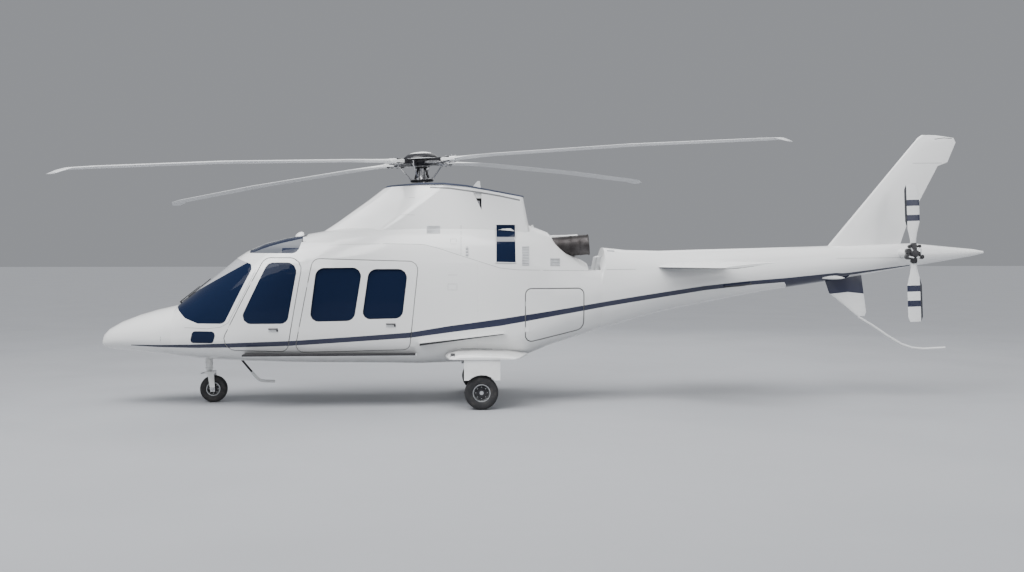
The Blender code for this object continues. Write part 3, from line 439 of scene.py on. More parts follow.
def skin_paint(name, skins, lined):
    """White with the navy stripe and the dark rear underside, and a lining on inner faces if there is one."""
    look = white_paint(name)
    upper, lower = [], []
    for px, top, bottom in STRIPE:
        for row, table in ((top, upper), (bottom, lower)):
            place = skins.pixel(px, row)[0]
            table.append((place.x, place.z))
    tail = upper[-1][0]
    # Past the stripe's end the dark paint covers the boom's underside, and then thins to a line
    upper += [(-3.85, 1.716), (-3.98, 1.710), (-4.93, 1.824)]
    lower += [(tail - 0.02, 1.45), (-4.00, 1.45), (-4.05, 1.682), (-4.93, 1.806)]
    over = look.over(look.z, curve_of_x(look, lower))
    under = look.under(look.z, curve_of_x(look, upper))
    look.tint(look.times(over, under, look.over(look.x, -4.95), look.under(look.x, upper[0][0])), NAVY)
    if not lined:
        return look.made
    inner = inside_share(look, curve_of_x(look, MIDDLE))
    look.tint(inner, (0.43, 0.40, 0.36))
    look.tint(look.times(look.under(look.z, CARPET_TOP), inner), (0.06, 0.065, 0.08))
    look.bump(look.times(look.noise(900.0, 2.0), inner), 0.0006, 0.6)
    base = look.shader.inputs["Roughness"].links[0].from_socket
    look.rough(look.sum("MAXIMUM", base, look.times(inner, 0.8)))
    return look.made


def leg_paint():
    """White legs with a chromed piston and steel axle ends."""
    look = white_paint("leg_paint")
    away = look.sum("ABSOLUTE", look.y)
    near = look.times(look.span(away, 0.862, 0.864), look.span(away, 0.948, 0.946))
    shine = look.times(near, look.near(look.z, 0.345, 0.075), look.near(look.x, MAIN_WHEEL.x, 0.045))
    for centre in (MAIN_WHEEL, NOSE_WHEEL):
        axle = look.times(look.near(look.x, centre.x, 0.03), look.near(look.z, centre.z, 0.03))
        shine = look.sum("MAXIMUM", shine, axle)
    look.tint(shine, (0.62, 0.63, 0.65))
    look.tree.links.new(shine, look.shader.inputs["Metallic"])
    return look.made


def stabiliser_paint():
    """White, with painted shade on the underside: grey, and dark navy in front."""
    look = white_paint("stabiliser_paint")
    # Painted shade: grey on the downward faces, forward of the tip's rear edge
    low = look.times(look.span(look.normal()[2], -0.3, -0.6), look.span(look.x, -2.70, -2.60))
    look.tint(low, (0.17, 0.17, 0.17))
    # Painted shade: navy on the front part of the underside
    dark = look.times(look.span(look.x, -1.75, -1.55), look.span(look.x, -1.24, -1.28))
    look.tint(look.times(low, dark), NAVY)
    return look.made


def fin_paint():
    """White, with the dark root that meets the boom's dark underside."""
    look = white_paint("ventral_paint")
    edge = look.sum("MULTIPLY_ADD", look.sum("ABSOLUTE", look.sum("ADD", look.x, 4.08)), -0.10, 1.445)
    look.tint(look.over(look.z, edge), NAVY)
    return look.made


def glass_paint(name, reflection_above=None, highlight_band=None):
    """Dark tinted glass, with a pale painted reflection above a line of two (x, z) points, and a pale painted
    highlight in a band of heights, where these are given.
    """
    look = Look(name, (0.006, 0.012, 0.034), 0.03, Alpha=0.97, Specular_IOR_Level=0.12)
    look.tint(look.cloud((0.8, 1.0), 0.3, 0.8, 0.0, 0.5), (0.009, 0.017, 0.044))
    look.rough(look.cloud((5.0, 4.0), 0.4, 0.8, 0.02, 0.06))
    if reflection_above:
        # Painted reflection: pale above the line through the two points
        (xa, za), (xb, zb) = reflection_above
        slope = (zb - za) / (xb - xa)
        line = look.sum("MULTIPLY_ADD", look.x, slope, za - slope * xa)
        share = look.span(look.sum("SUBTRACT", look.z, line), 0.0, 0.006)
        look.tint(look.times(share, 0.80), (0.50, 0.51, 0.53))
    if highlight_band:
        # Painted highlight: a pale band between the two heights
        low, high = highlight_band
        rise = look.span(look.z, low, low + 0.012)
        fall = look.span(look.z, high + 0.012, high)
        look.tint(look.times(rise, fall, 0.42), (0.75, 0.76, 0.78))
    return look.made


def overhead_glass():
    """The windows over the pilots: a dark band along the roof and a pale painted reflection below it."""
    look = Look("overhead_glass", (0.006, 0.012, 0.034), 0.1, Specular_IOR_Level=0.2)
    edge = [everything.pixel(px, py)[0] for px, py in PALE_REFLECTION_EDGE]
    # Painted reflection: pale below the edge line, paler higher up, and mostly left out in the pocket at the
    # rear
    low = look.under(look.z, curve_of_x(look, [(p.x, p.z) for p in edge]))
    corner = everything.pixel(*PALE_REFLECTION_POCKET)[0]
    pocket = look.times(look.span(look.x, corner.x + 0.01, corner.x), look.under(look.z, corner.z))
    share = look.times(low, look.sum("SUBTRACT", 1.0, look.times(pocket, 0.9)))
    look.tint(look.times(share, look.span(look.z, 2.02, 2.12, 0.35, 0.6)), (0.31, 0.32, 0.33))
    look.rough(look.cloud((6.0, 3.0), 0.4, 0.8, 0.05, 0.14))
    return look.made


def metal(name, colour, roughness, streak=None, heat=None):
    """Metal with brushed or blotchy wear, and an optional heat-stained colour."""
    look = Look(name, colour, roughness, 1.0)
    grain = look.noise(60.0, 5.0, streak)
    look.rough(look.span(grain, 0.3, 0.7, roughness * 0.75, min(1.0, roughness * 1.35)))
    look.tint(look.cloud((14.0, 5.0), 0.35, 0.75, 0.0, 0.5), tuple(c * 0.6 for c in colour))
    if heat:
        look.tint(look.cloud((6.0, 4.0), 0.3, 0.7, 0.2, 0.9), heat)
    look.bump(grain, 0.0004, 0.35)
    return look.made


def plain(name, colour, roughness, grain=180.0, depth=0.0004, metallic=0.0, fade=0.35):
    """Moulded plastic, rubber or satin paint with a fine grain and slight fading."""
    look = Look(name, colour, roughness, metallic)
    look.tint(look.cloud((9.0, 5.0), 0.35, 0.75, 0.0, fade), tuple(min(1.0, c * 1.7 + 0.01) for c in colour))
    look.rough(look.cloud((22.0, 4.0), 0.3, 0.75, roughness * 0.85, min(1.0, roughness * 1.2)))
    look.bump(look.noise(grain, 3.0), depth, 0.5)
    return look.made


def leather(name, colour):
    """Fine-grained leather: small cells, soft creases and rubbed high places."""
    look = Look(name, colour, 0.5, Sheen_Weight=0.08)
    cells = look.node("TexVoronoi", {"Vector": look.place, "Scale": 420.0})
    look.bump(cells["Distance"], 0.0006, 0.6)
    look.bump(look.noise(24.0, 4.0), 0.0016, 0.35)
    look.tint(look.cloud((5.0, 4.0), 0.35, 0.75, 0.0, 0.4), tuple(c * 0.72 for c in colour))
    look.rough(look.cloud((30.0, 3.0), 0.3, 0.7, 0.38, 0.6))
    return look.made


def rotor_paint():
    """Main blades: pale grey with cloudy fading, whiter near the hub."""
    look = Look("rotor_blade_paint", (0.66, 0.67, 0.68), 0.35, Coat_Weight=0.2, Coat_Roughness=0.2)
    look.tint(look.cloud((2.2, 5.0, (1, 1, 6)), 0.35, 0.75, 0.0, 0.4), (0.55, 0.56, 0.57))
    away = look.node("VectorMath", {0: look.place, 1: HUB}, operation="DISTANCE")["Value"]
    look.tint(look.span(away, 1.25, 0.95), (0.80, 0.81, 0.81))
    look.rough(look.cloud((16.0, 4.0), 0.3, 0.7, 0.28, 0.45))
    return look.made


def tail_blade_paint():
    """White tail blades with two navy bands on each and a dark leading strip."""
    look = Look("tail_blade_paint", (0.74, 0.75, 0.75), 0.3, Coat_Weight=0.2)
    shift = look.node("VectorMath", {0: look.place, 1: TAIL_HUB}, operation="SUBTRACT")[0]
    split = look.node("SeparateXYZ", {0: shift})
    sine, cosine = sin(TAIL_LEAN), cos(TAIL_LEAN)
    along = look.sum("MULTIPLY_ADD", split[0], sine, look.times(split[2], cosine))
    across = look.sum("MULTIPLY_ADD", split[0], cosine, look.times(split[2], -sine))
    share = look.sum("DIVIDE", look.sum("ABSOLUTE", along), TAIL_RADIUS)
    bands = 0.0
    for low, high in ((0.47, 0.56), (0.69, 0.78)):
        band = look.times(look.over(share, low), look.under(share, high))
        bands = look.sum("ADD", bands, band)
    look.tint(bands, NAVY)
    sign = look.sum("SIGN", along)
    lead = look.over(look.times(across, sign), 0.074)
    look.tint(look.times(lead, look.over(share, 0.30)), (0.03, 0.032, 0.04))
    look.rough(look.cloud((20.0, 4.0), 0.3, 0.7, 0.24, 0.4))
    return look.made


def tyre_rubber():
    look = Look("tyre_rubber", (0.016, 0.016, 0.018), 0.75)
    look.tint(look.cloud((18.0, 6.0), 0.45, 0.75, 0.0, 0.6), (0.06, 0.055, 0.05))
    look.bump(look.noise(260.0, 4.0), 0.0006, 0.6)
    look.rough(look.cloud((12.0, 4.0), 0.3, 0.7, 0.62, 0.85))
    return look.made


SKIN = skin_paint("skin_paint", skins, False)
LINED_SKIN = skin_paint("lined_skin_paint", skins, True)
PAINT = white_paint("white_paint").made
LEG = leg_paint()
STABILISER = stabiliser_paint()
GLASS = glass_paint("tinted_glass")
# The windscreen gets a pale painted reflection along its top
SCREEN = glass_paint("windscreen_glass", reflection_above=((4.24, 1.775), (4.10, 1.850)))
OVERHEAD = overhead_glass()
# Satin black, also used as painted shade in the sponson notches
BLACK = plain("black_satin_and_painted_shade", (0.014, 0.014, 0.017), 0.38)
# Dark rubber, also used as painted shade on the steps and under the strakes
DARK = plain("dark_rubber_and_painted_shade", (0.02, 0.02, 0.023), 0.65)
# Grey of the panel gaps, also used for a painted shadow line under the deck plate
LINE = plain("panel_gap_and_painted_shadow", (0.16, 0.165, 0.17), 0.6)
SEAL = plain("door_seal", (0.20, 0.205, 0.21), 0.7)
GREY = plain("grey_paint", (0.36, 0.37, 0.39), 0.4)
PALE = plain("pale_grey", (0.55, 0.56, 0.57), 0.45)
DECK = plain("deck_blue", (0.055, 0.065, 0.10), 0.35)
PANEL = plain("panel_black", (0.02, 0.02, 0.022), 0.6)
STEEL = metal("bare_steel", (0.55, 0.55, 0.56), 0.28, streak=(1, 1, 14))
ALLOY = metal("cast_alloy", (0.52, 0.53, 0.54), 0.42)
EXHAUST = metal("burnt_metal", (0.16, 0.15, 0.15), 0.5, heat=(0.05, 0.045, 0.045))
SOOT = plain("exhaust_inside", (0.006, 0.006, 0.007), 0.9)
ROTOR = rotor_paint()
TAIL_ROTOR = tail_blade_paint()
RUBBER = tyre_rubber()
HIDE = leather("seat_leather", (0.44, 0.36, 0.27))


# CAD nodes: smooth shading, welded edges and their finishes


CREASE = 27
WELD = 0.00002


def smooth_group():
    """Welds the triangles of an imported node and shades it smooth except at its real edges."""
    group = bpy.data.node_groups.new("smooth_skin", "GeometryNodeTree")
    for way in ("INPUT", "OUTPUT"):
        group.interface.new_socket("Geometry", in_out=way, socket_type="NodeSocketGeometry")
    start = group.nodes.new("NodeGroupInput")
    bare = add_node(group, "GeometryNodeRemoveAttribute", {0: start.outputs[0], "Name": "custom_normal"})
    weld = add_node(group, "GeometryNodeMergeByDistance", {0: bare.outputs[0], "Distance": WELD})
    angle = add_node(group, "GeometryNodeInputMeshEdgeAngle", {})
    inputs = {0: angle.outputs[0], 1: radians(CREASE)}
    edge = add_node(group, "FunctionNodeCompare", inputs, operation="GREATER_THAN")
    soft = add_node(group, "GeometryNodeSetShadeSmooth", {"Geometry": weld.outputs[0], "Shade Smooth": True})
    inputs = {"Geometry": soft.outputs[0], "Selection": edge.outputs[0], "Shade Smooth": False}
    sharp = add_node(group, "GeometryNodeSetShadeSmooth", inputs, domain="EDGE")
    end = group.nodes.new("NodeGroupOutput")
    group.links.new(sharp.outputs[0], end.inputs[0])
    return group


FINISHES = {
    "white_paint": PAINT, "tinted_glass": GLASS, "exhaust_metal": EXHAUST, "gearbox_metal": ALLOY,
    "seat_leather": HIDE, "tyre_rubber": RUBBER, "black_hub": BLACK, "steel": STEEL, "grey_metal": GREY,
    # The step's dark finish is painted shade
    "deck_grey": DECK, "dark_step": DARK, "black_panel": PANEL, "blade_paint": ROTOR,
}
SPECIAL = dict.fromkeys(both("main_leg") + ["nose_leg", "nose_fork"], LEG)
SPECIAL.update(dict.fromkeys(both("overhead_window"), OVERHEAD))
SPECIAL.update(dict.fromkeys(both("stabiliser"), STABILISER))
LINED = ["cabin_shell", "rear_fuselage", *both("pilot_door", "cabin_door"), "baggage_door"]
SPECIAL.update(dict.fromkeys(LINED, LINED_SKIN), nose_cone=SKIN, tail_boom=SKIN)
SPECIAL.update(windscreen=SCREEN, tail_blades=TAIL_ROTOR, ventral_fin=fin_paint(), tail_gearbox=PAINT)


def dress_nodes():
    group = smooth_group()
    slots = {row["node"]: row["material_slot"] for row in frame["record"]["subparts"]}
    for name, node in NODES.items():
        for index in range(len(node.data.materials)):
            node.data.materials[index] = SPECIAL.get(name, FINISHES[slots[name]])
        node.modifiers.new("smooth_skin", "NODES").node_group = group
        weight = node.modifiers.new("weighted", "WEIGHTED_NORMAL")
        weight.keep_sharp = True


# Lines and marks on the skin


def strip(shape, places, width, lift=0.0006):
    """A thin ribbon laid over places on the skin, each a (place, normal) pair."""
    points, faces = [], []
    for i, (place, normal) in enumerate(places):
        ahead = places[min(i + 1, len(places) - 1)][0] - places[max(i - 1, 0)][0]
        side = normal.cross(ahead).normalized() * (width / 2)
        points += [place + side + normal * lift, place - side + normal * lift]
    for i in range(len(places) - 1):
        faces.append((2 * i, 2 * i + 1, 2 * i + 3, 2 * i + 2))
    shape.add(points, faces)


def dense(pixels, step=2.0):
    route = []
    for (xa, ya), (xb, yb) in zip(pixels, pixels[1:]):
        count = max(1, round(hypot(xb - xa, yb - ya) / step))
        route += [(xa + (xb - xa) * k / count, ya + (yb - ya) * k / count) for k in range(count)]
    return route + [pixels[-1]]


# Lines in the photograph, as pixels: panel joints, hatches, small marks and a painted shadow under the deck
# plate, with their widths in metres
JOINTS = [
    (0.004, [(184.3, 327.6), (207.5, 328.7), (220.4, 327.3), (228.0, 323.0), (244.1, 293.2), (256.0, 269.4)]),
    (0.004, [(461, 225), (461, 254.7)]),
    (0.003, [(400, 214.9), (414.7, 214.9)]),
    (0.004, [(409, 197.7), (415, 197.7)]),
    (0.003, [(450.5, 239), (456.3, 239), (456.3, 244), (450.5, 244), (450.5, 239)]),
    (0.003, [(448, 275), (457, 275)]),
    (0.003, [(448, 284), (457, 284), (457, 290), (448, 290), (448, 284)]),
    (0.004, [(600.5, 269.6), (635.6, 269.3)]),
    (0.004, [(836.7, 258.3), (870, 258.0), (902, 257.6)]),
    (0.004, [(912.5, 163.2), (942.0, 163.0)]),
    (0.004, [(385, 243.6), (424, 244.5), (440, 248.8), (462, 256.0), (487, 264.0), (500, 268.0), (516, 269.8),
             (545, 270.3), (580, 270.6), (596, 270.8)]),
    (0.010, [(525.3, 337.0), (526.3, 339.3), (528.6, 340.4)]),
    (0.005, [(160.5, 336.6), (160.5, 342.6)]),
    (0.003, [(330, 245.2), (360, 244.2), (385, 243.6)]),
    (0.006, [(460.6, 348.6), (492.3, 348.9)]),
    (0.010, [(934.5, 139.2), (944.0, 137.8), (954.5, 138.8)]),
    # Painted shadow under the rear half of the deck plate, as a wide dark line
    (0.022, [(430, 187.3), (450, 188.3), (480, 192.5), (500, 196.0), (520, 200.3)]),
]


def joint_lines_and_painted_shadow():
    """Joint lines and the painted shadow line, split by the body that they lie on, on both sides."""
    for side, word in SIDES:
        groups = {}
        for width, pixels in JOINTS:
            places = []
            for px, py in dense(pixels):
                try:
                    places.append(skins.pixel(px, py, side))
                except ValueError:
                    continue
            for body, run in groupby(places, lambda hit: NODES[hit[2]]["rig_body"]):
                run = [hit[:2] for hit in run]
                if len(run) > 1:
                    strip(groups.setdefault(body, Shape()), run, width)
        for body, shape in groups.items():
            shape.piece("panel_lines_%s_%s" % (word, body), LINE, body)


def patch(shape, corners, side, lift, steps=(4, 6), target=None):
    """A grid on the skin between four pixel corners: top left, top right, bottom right, bottom left."""
    points, faces, count = [], [], steps[0] + 1
    for j in range(steps[1] + 1):
        for i in range(count):
            top = Vector(corners[0]).lerp(Vector(corners[1]), i / steps[0])
            low = Vector(corners[3]).lerp(Vector(corners[2]), i / steps[0])
            place, normal, _ = (target or everything).pixel(*top.lerp(low, j / steps[1]), side)
            points.append(place + normal * lift)
            if i and j:
                here = j * count + i
                faces.append((here - count - 1, here - count, here, here - 1))
    shape.add(points, faces)


# Grilles. Columns: left, upper, right and lower pixel, number of slats
GRILLES = [
    (426.8, 225.8, 440.0, 233.3, 6),
    (522.1, 246.4, 528.9, 265.3, 12),
    (550.2, 258.3, 559.6, 265.7, 5),
    (465.8, 246.8, 468.0, 255.8, 3),
]


def grilles():
    """Framed vents with slats across them."""
    for side, word in SIDES:
        back, slats = Shape(), Shape()
        for x0, y0, x1, y1, count in GRILLES:
            corners = [(x0, y0), (x1, y0), (x1, y1), (x0, y1)]
            patch(back, corners, side, 0.0012)
            for k in range(count):
                row = y0 + (y1 - y0) * (k + 0.5) / count
                places = [skins.pixel(x, row, side)[:2] for x in (x0, (x0 + x1) / 2, x1)]
                slats.pipe([p + n * 0.003 for p, n in places], (y1 - y0) / count * 0.0045, 6)
            for a, b in zip(corners, corners[1:] + corners[:1]):
                places = [skins.pixel(*q, side)[:2] for q in dense([a, b])]
                slats.pipe([p + n * 0.002 for p, n in places], 0.004, 6)
        back.piece("vent_backs_" + word, GREY)
        slats.piece("vent_slats_" + word, PALE)


def intake_panel():
    """The dark glossy intake panel set in its recess, with a painted highlight band and a pale frame."""
    # The intake panel's glass carries a pale painted highlight band
    glossy = glass_paint("intake_glass", highlight_band=(2.135, 2.195))
    for side, word in SIDES:
        dark, rim = Shape(), Shape()
        corners = [(495.9, 224.6), (515.3, 224.6), (516.0, 263.0), (495.9, 262.6)]
        patch(dark, corners, side, 0.006, (4, 12))
        for k in range(4):
            places = [everything.pixel(*q, side)[:2] for q in dense([corners[k - 1], corners[k]])]
            rim.pipe([p + n * 0.012 for p, n in places], 0.006, 8)
        dark.piece("intake_panel_" + word, glossy)
        rim.piece("intake_frame_" + word, PAINT)


def door_details():
    """Handles on their plates and lock dots on the doors of both sides."""
    for side, word in SIDES:
        for door, (hx, hy) in (("pilot", (268.3, 328.2)), ("cabin", (386.0, 323.2))):
            body = "%s_door_%s" % (door, word)
            plate, lever, dot = Shape(), Shape(), Shape()
            corners = [(hx, hy), (hx + 10.0, hy + 0.4), (hx + 10.0, hy + 4.6), (hx, hy + 4.2)]
            patch(plate, corners, side, 0.0015, (5, 3))
            places = [skins.pixel(hx + s, hy + 0.8, side)[:2] for s in (0.3, 2.0, 5.0, 8.0, 9.2)]
            heights = (0.004, 0.016, 0.019, 0.016, 0.005)
            lever.pipe(arc([p + n * h for (p, n), h in zip(places, heights)], 4), 0.008, 10)
            place, normal, _ = skins.pixel(hx + 8.9, hy + 2.6, side)
            dot.rod(place + normal * 0.001, place + normal * 0.006, 0.012, sides=20)
            plate.piece("handle_plate_" + body, PALE, body)
            lever.piece("handle_lever_" + body, BLACK, body)
            dot.piece("handle_lock_" + body, BLACK, body)


# Running gear


def wheel(name, centre, radius, half, rim, body, node):
    """A grooved tyre on a bright rim with a dark, bolted web, in place of the plain wheel."""
    tread = []
    for middle in (-0.42, 0.0, 0.42):
        for edge, depth in ((-0.007, 0), (-0.004, 0.007), (0.004, 0.007), (0.007, 0)):
            tread.append((radius - depth - abs(middle) * 0.006, middle * half + edge))
    wall = [(rim - 0.006, 0.70), (rim + 0.006, 0.84), (rim + 0.030, 0.96), ((rim + radius) / 2 + 0.010, 1.0),
            (radius - 0.030, 0.97), (radius - 0.012, 0.86), (radius - 0.004, 0.70)]
    profile = [(r, -half * h) for r, h in wall] + tread + [(r, half * h) for r, h in reversed(wall)]
    tyre = Shape().turn(profile, centre, (0, 1, 0), 72)
    made = tyre.piece("tyre_" + name, RUBBER, body, "tyre_rubber", sharp=50)
    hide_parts(node)

    web = [(0.027, 0.60), (0.045, 0.60), (0.050, 0.36), (rim - 0.018, 0.28)]
    ring = [(rim - 0.022, 0.24), (rim - 0.012, 0.66), (rim - 0.006, 0.82), (rim + 0.004, 0.84),
            (rim + 0.004, 0.72)]
    for part, outline, finish in (("web_", web, BLACK), ("rim_", ring, ALLOY)):
        profile = [(r, half * h) for r, h in outline] + [(r, -half * h) for r, h in reversed(outline)]
        Shape().turn(profile, centre, (0, 1, 0), 48).piece(part + name, finish, body, "steel", sharp=30)
    bolts = Shape()
    for c, s in circle(8):
        spot = centre + Vector((c, 0, s)) * (rim * 0.68)
        bolts.rod(spot + Vector((0, -half * 0.42, 0)), spot + Vector((0, half * 0.42, 0)), 0.006, sides=6)
    bolts.piece("rim_bolts_" + name, STEEL, body, "steel")


def running_gear():
    for side, word in SIDES:
        centre = Vector((MAIN_WHEEL.x, side * MAIN_WHEEL.y, MAIN_WHEEL.z))
        wheel("main_" + word, centre, MAIN_WHEEL.z, 0.080, 0.108, "main_wheel_" + word, "main_wheel_" + word)
        links, brake, hose = Shape(), Shape(), Shape()
        y = side * 0.905
        for a, b in (((0.018, 0.500), (0.165, 0.385)), ((0.165, 0.385), (0.018, 0.270))):
            for across in (-0.022, 0.022):
                ends = [(centre.x + q[0], y + across * (1.5 - abs(q[0]) * 4), q[1]) for q in (a, b)]
                links.rod(*ends, 0.010, sides=10)
        links.rod((centre.x + 0.165, y - 0.04, 0.385), (centre.x + 0.165, y + 0.04, 0.385), 0.013)
        for z in (0.270, 0.430, 0.500):
            links.turn(collar(0.036, 0.046, 0.014, 0.010), (centre.x, y, z))
        disc = (centre.x, side * 0.966, centre.z)
        brake.turn(collar(0.045, 0.090, 0.004, 0.004), disc, (0, 1, 0), 40)
        brake.box((centre.x - 0.078, side * 0.963, centre.z + 0.02), (0.045, 0.034, 0.075))
        brake.box((centre.x, side * 0.963, centre.z + 0.082), (0.070, 0.034, 0.035))
        route = [(centre.x - 0.078, side * 0.950, centre.z + 0.06), (centre.x - 0.10, side * 0.93, 0.36),
                 (centre.x - 0.055, side * 0.92, 0.46), (centre.x - 0.045, side * 0.91, 0.56)]
        hose.pipe(arc(route), 0.006)
        links.piece("torque_link_" + word, PAINT, bevel=0.002)
        brake.piece("brake_" + word, STEEL, bevel=0.003)
        hose.piece("brake_hose_" + word, DARK)
        # A black patch in the notch at each sponson's front: painted shade
        notch = Shape()
        corners = [(450.6, 353.6), (455.0, 353.6), (455.0, 357.2), (450.6, 357.2)]
        patch(notch, corners, side, 0.002, (3, 3), sponsons)
        notch.piece("sponson_notch_" + word, BLACK)

    wheel("nose", NOSE_WHEEL, NOSE_WHEEL.z, 0.060, 0.088, "nose_wheel", "nose_wheel")
    fixed, turning = Shape(), Shape()
    for z, wide in ((0.455, 0.052), (0.520, 0.050), (0.600, 0.054)):
        fixed.turn(collar(0.040, wide, 0.012, 0.009), (STEER_X, 0, z))
    fixed.rod((STEER_X + 0.045, -0.02, 0.50), (STEER_X + 0.045, -0.02, 0.62), 0.012)
    fixed.piece("nose_leg_collars", PAINT, bevel=0.001)
    for across in (-1, 1):
        turning.rod((STEER_X - 0.02, across * 0.045, 0.400), (STEER_X - 0.02, across * 0.088, 0.400), 0.014)
        spot = Vector((NOSE_WHEEL.x, across * 0.082, NOSE_WHEEL.z))
        turning.turn([(0.0001, 0), (0.020, 0), (0.020, 0.010), (0.012, 0.016), (0.0001, 0.016)],
                     spot + Vector((0, across * 0.010, 0)), (0, across, 0), 6)
    towing = [(4.705, -0.03, 0.400), (4.760, -0.03, 0.385), (4.760, 0.03, 0.385), (4.705, 0.03, 0.400)]
    turning.pipe(arc(towing), 0.007)
    turning.piece("fork_fittings", STEEL, "nose_steer", bevel=0.002)


# Rotor heads

# A blade cuff's outline, as shares of its half width and half height
CUFF_SECTION = [
    (1, 0.55), (0.75, 1), (-0.75, 1), (-1, 0.55), (-1, -0.55), (-0.75, -1), (0.75, -1), (1, -0.55)
]
# The cuff along the blade. Columns: distance from the hub, half width, half height
CUFF = [(0.420, 0.083, 0.036), (0.455, 0.088, 0.036), (0.600, 0.078, 0.030), (0.640, 0.062, 0.030)]
MAST = Matrix.Translation(HUB) @ Matrix.Rotation(MAST_TILT, 4, "Y")


def rotor_head():
    """Domed cap, cuffs, bolts, dampers, pitch links and swashplate fittings."""
    cap, band, cuffs, bolts, links, horns = (Shape() for _ in range(6))
    dome = [(0.0001, 0.106), (0.05, 0.104), (0.10, 0.098), (0.14, 0.087), (0.168, 0.070)]
    shell = [(r, h + 0.004) for r, h in dome] + [(0.162, 0.066), (0.10, 0.085), (0.0001, 0.095)]
    cap.turn(shell, sides=64, place=MAST)
    skirt = [(0.166, 0.070), (0.195, 0.052), (0.228, 0.022), (0.226, 0.008), (0.19, 0.012), (0.15, 0.05)]
    band.turn(skirt, sides=64, place=MAST)
    edge = [(0.228, 0.004), (0.240, 0.007), (0.240, 0.015), (0.228, 0.018)]
    rim = Shape().turn(edge, sides=64, place=MAST)
    for k in range(4):
        arm = MAST @ Matrix.Rotation(FIRST_BLADE + k * pi / 2, 4, "Z")
        rings = []
        for r, w, h in CUFF:
            rings.append([(r, w * a, h * b - 0.030) for a, b in CUFF_SECTION])
        cuffs.loft(rings, arm)
        for r, across in ((0.475, 0.040), (0.475, -0.040), (0.570, 0.040), (0.570, -0.040)):
            bolts.rod((r, across, -0.078), (r, across, 0.020), 0.013, sides=6, place=arm)
            bolts.rod((r, across, -0.070), (r, across, 0.011), 0.020, sides=16, place=arm)
        for across in (-0.045, 0.045):
            bolts.rod((0.265, across, -0.070), (0.265, across, 0.014), 0.011, sides=6, place=arm)
        links.rod((0.190, -0.115, -0.045), (0.400, -0.115, -0.060), 0.020, place=arm)
        links.rod((0.400, -0.115, -0.060), (0.480, -0.100, -0.062), 0.010, place=arm)
        horns.box((0.300, 0.105, -0.045), (0.070, 0.060, 0.028), arm)
        horns.box((0.440, -0.092, -0.062), (0.060, 0.045, 0.020), arm)
        horns.box((0.190, -0.095, -0.045), (0.050, 0.070, 0.040), arm)
        links.rod((0.305, 0.125, -0.055), (0.150, 0.060, -0.255), 0.009, place=arm)
        links.rod((0.305, 0.125, -0.020), (0.300, 0.123, -0.075), 0.016, place=arm)
        links.rod((0.146, 0.058, -0.275), (0.150, 0.060, -0.245), 0.016, place=arm)
        horns.rod((0.060, 0.0, -0.110), (0.125, 0.0, -0.250), 0.012, place=arm)
    plate = [(0.060, -0.262), (0.152, -0.268), (0.158, -0.277), (0.158, -0.286), (0.150, -0.298)]
    horns.turn(plate + [(0.060, -0.300)], sides=48, place=MAST)
    horns.turn([(0.050, -0.12), (0.085, -0.115), (0.085, -0.095), (0.050, -0.09)], place=MAST)
    body = "main_rotor"
    cap.piece("hub_cap", PAINT, body, sharp=60)
    band.piece("hub_band", PAINT, body, sharp=60)
    rim.piece("hub_rim", PALE, body)
    cuffs.piece("blade_cuffs", ROTOR, body, bevel=0.004)
    bolts.piece("hub_bolts", STEEL, body)
    links.piece("pitch_links", STEEL, body)
    horns.piece("hub_horns", BLACK, body, bevel=0.003)


TAIL = Matrix.Translation(TAIL_HUB) @ Matrix.Rotation(TAIL_LEAN, 4, "Y")


def tail_head():
    """Tail rotor head: blade grips, cross beam, pitch spider and its links, in place of the plain block."""
    grips, knobs, links = Shape(), Shape(), Shape()
    section = [(-1, -0.7), (-0.7, -1), (0.7, -1), (1, -0.7), (1, 0.7), (0.7, 1), (-0.7, 1), (-1, 0.7)]
    ends = [(-0.140, 0.030, 0.026), (-0.120, 0.042, 0.036), (0.120, 0.042, 0.036), (0.140, 0.030, 0.026)]
    grips.loft([[(x * w, y * d, h) for x, y in section] for h, w, d in ends], TAIL)
    grips.box((0.0, 0.0, -0.010), (0.215, 0.050, 0.052), TAIL)
    boss = [(0.0001, 0.0), (0.060, 0.0), (0.060, 0.050), (0.045, 0.068), (0.0001, 0.070)]
    grips.turn(boss, axis=(0, 1, 0), place=TAIL)
    for x, z, r in ((0.078, 0.030, 0.036), (0.082, -0.045, 0.040)):
        grips.rod((x, -0.030, z), (x, 0.040, z), r, sides=24, place=TAIL)
    for x, z, r in (
        (0.068, 0.092, 0.022), (-0.068, 0.092, 0.022), (-0.095, -0.052, 0.032), (-0.058, -0.015, 0.018)
    ):
        knobs.rod((x, 0.010, z), (x, 0.062, z), r, sides=24, place=TAIL)
        knobs.rod((x, 0.062, z), (x, 0.074, z), r * 0.5, sides=6, place=TAIL)
    for a, b in (((0.068, 0.092), (0.030, 0.030)), ((-0.068, 0.092), (-0.030, 0.030)),
                 ((-0.095, -0.052), (-0.020, -0.060)), ((0.082, -0.045), (0.020, -0.060)),
                 ((-0.085, 0.060), (-0.090, -0.030))):
        links.rod((a[0], 0.050, a[1]), (b[0], 0.055, b[1]), 0.010, place=TAIL)
    head = grips.piece("tail_head", BLACK, "tail_rotor", "black_hub", bevel=0.003)
    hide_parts("tail_hub")
    knobs.piece("tail_head_knobs", BLACK, "tail_rotor", bevel=0.002)
    links.piece("tail_head_links", PALE, "tail_rotor")


# Fittings on the skin


def flat_plate(shape, outline, y, half):
    """A plate from an outline of (x, z) points."""
    shape.loft([[(x, y - half, z) for x, z in outline], [(x, y + half, z) for x, z in outline]])


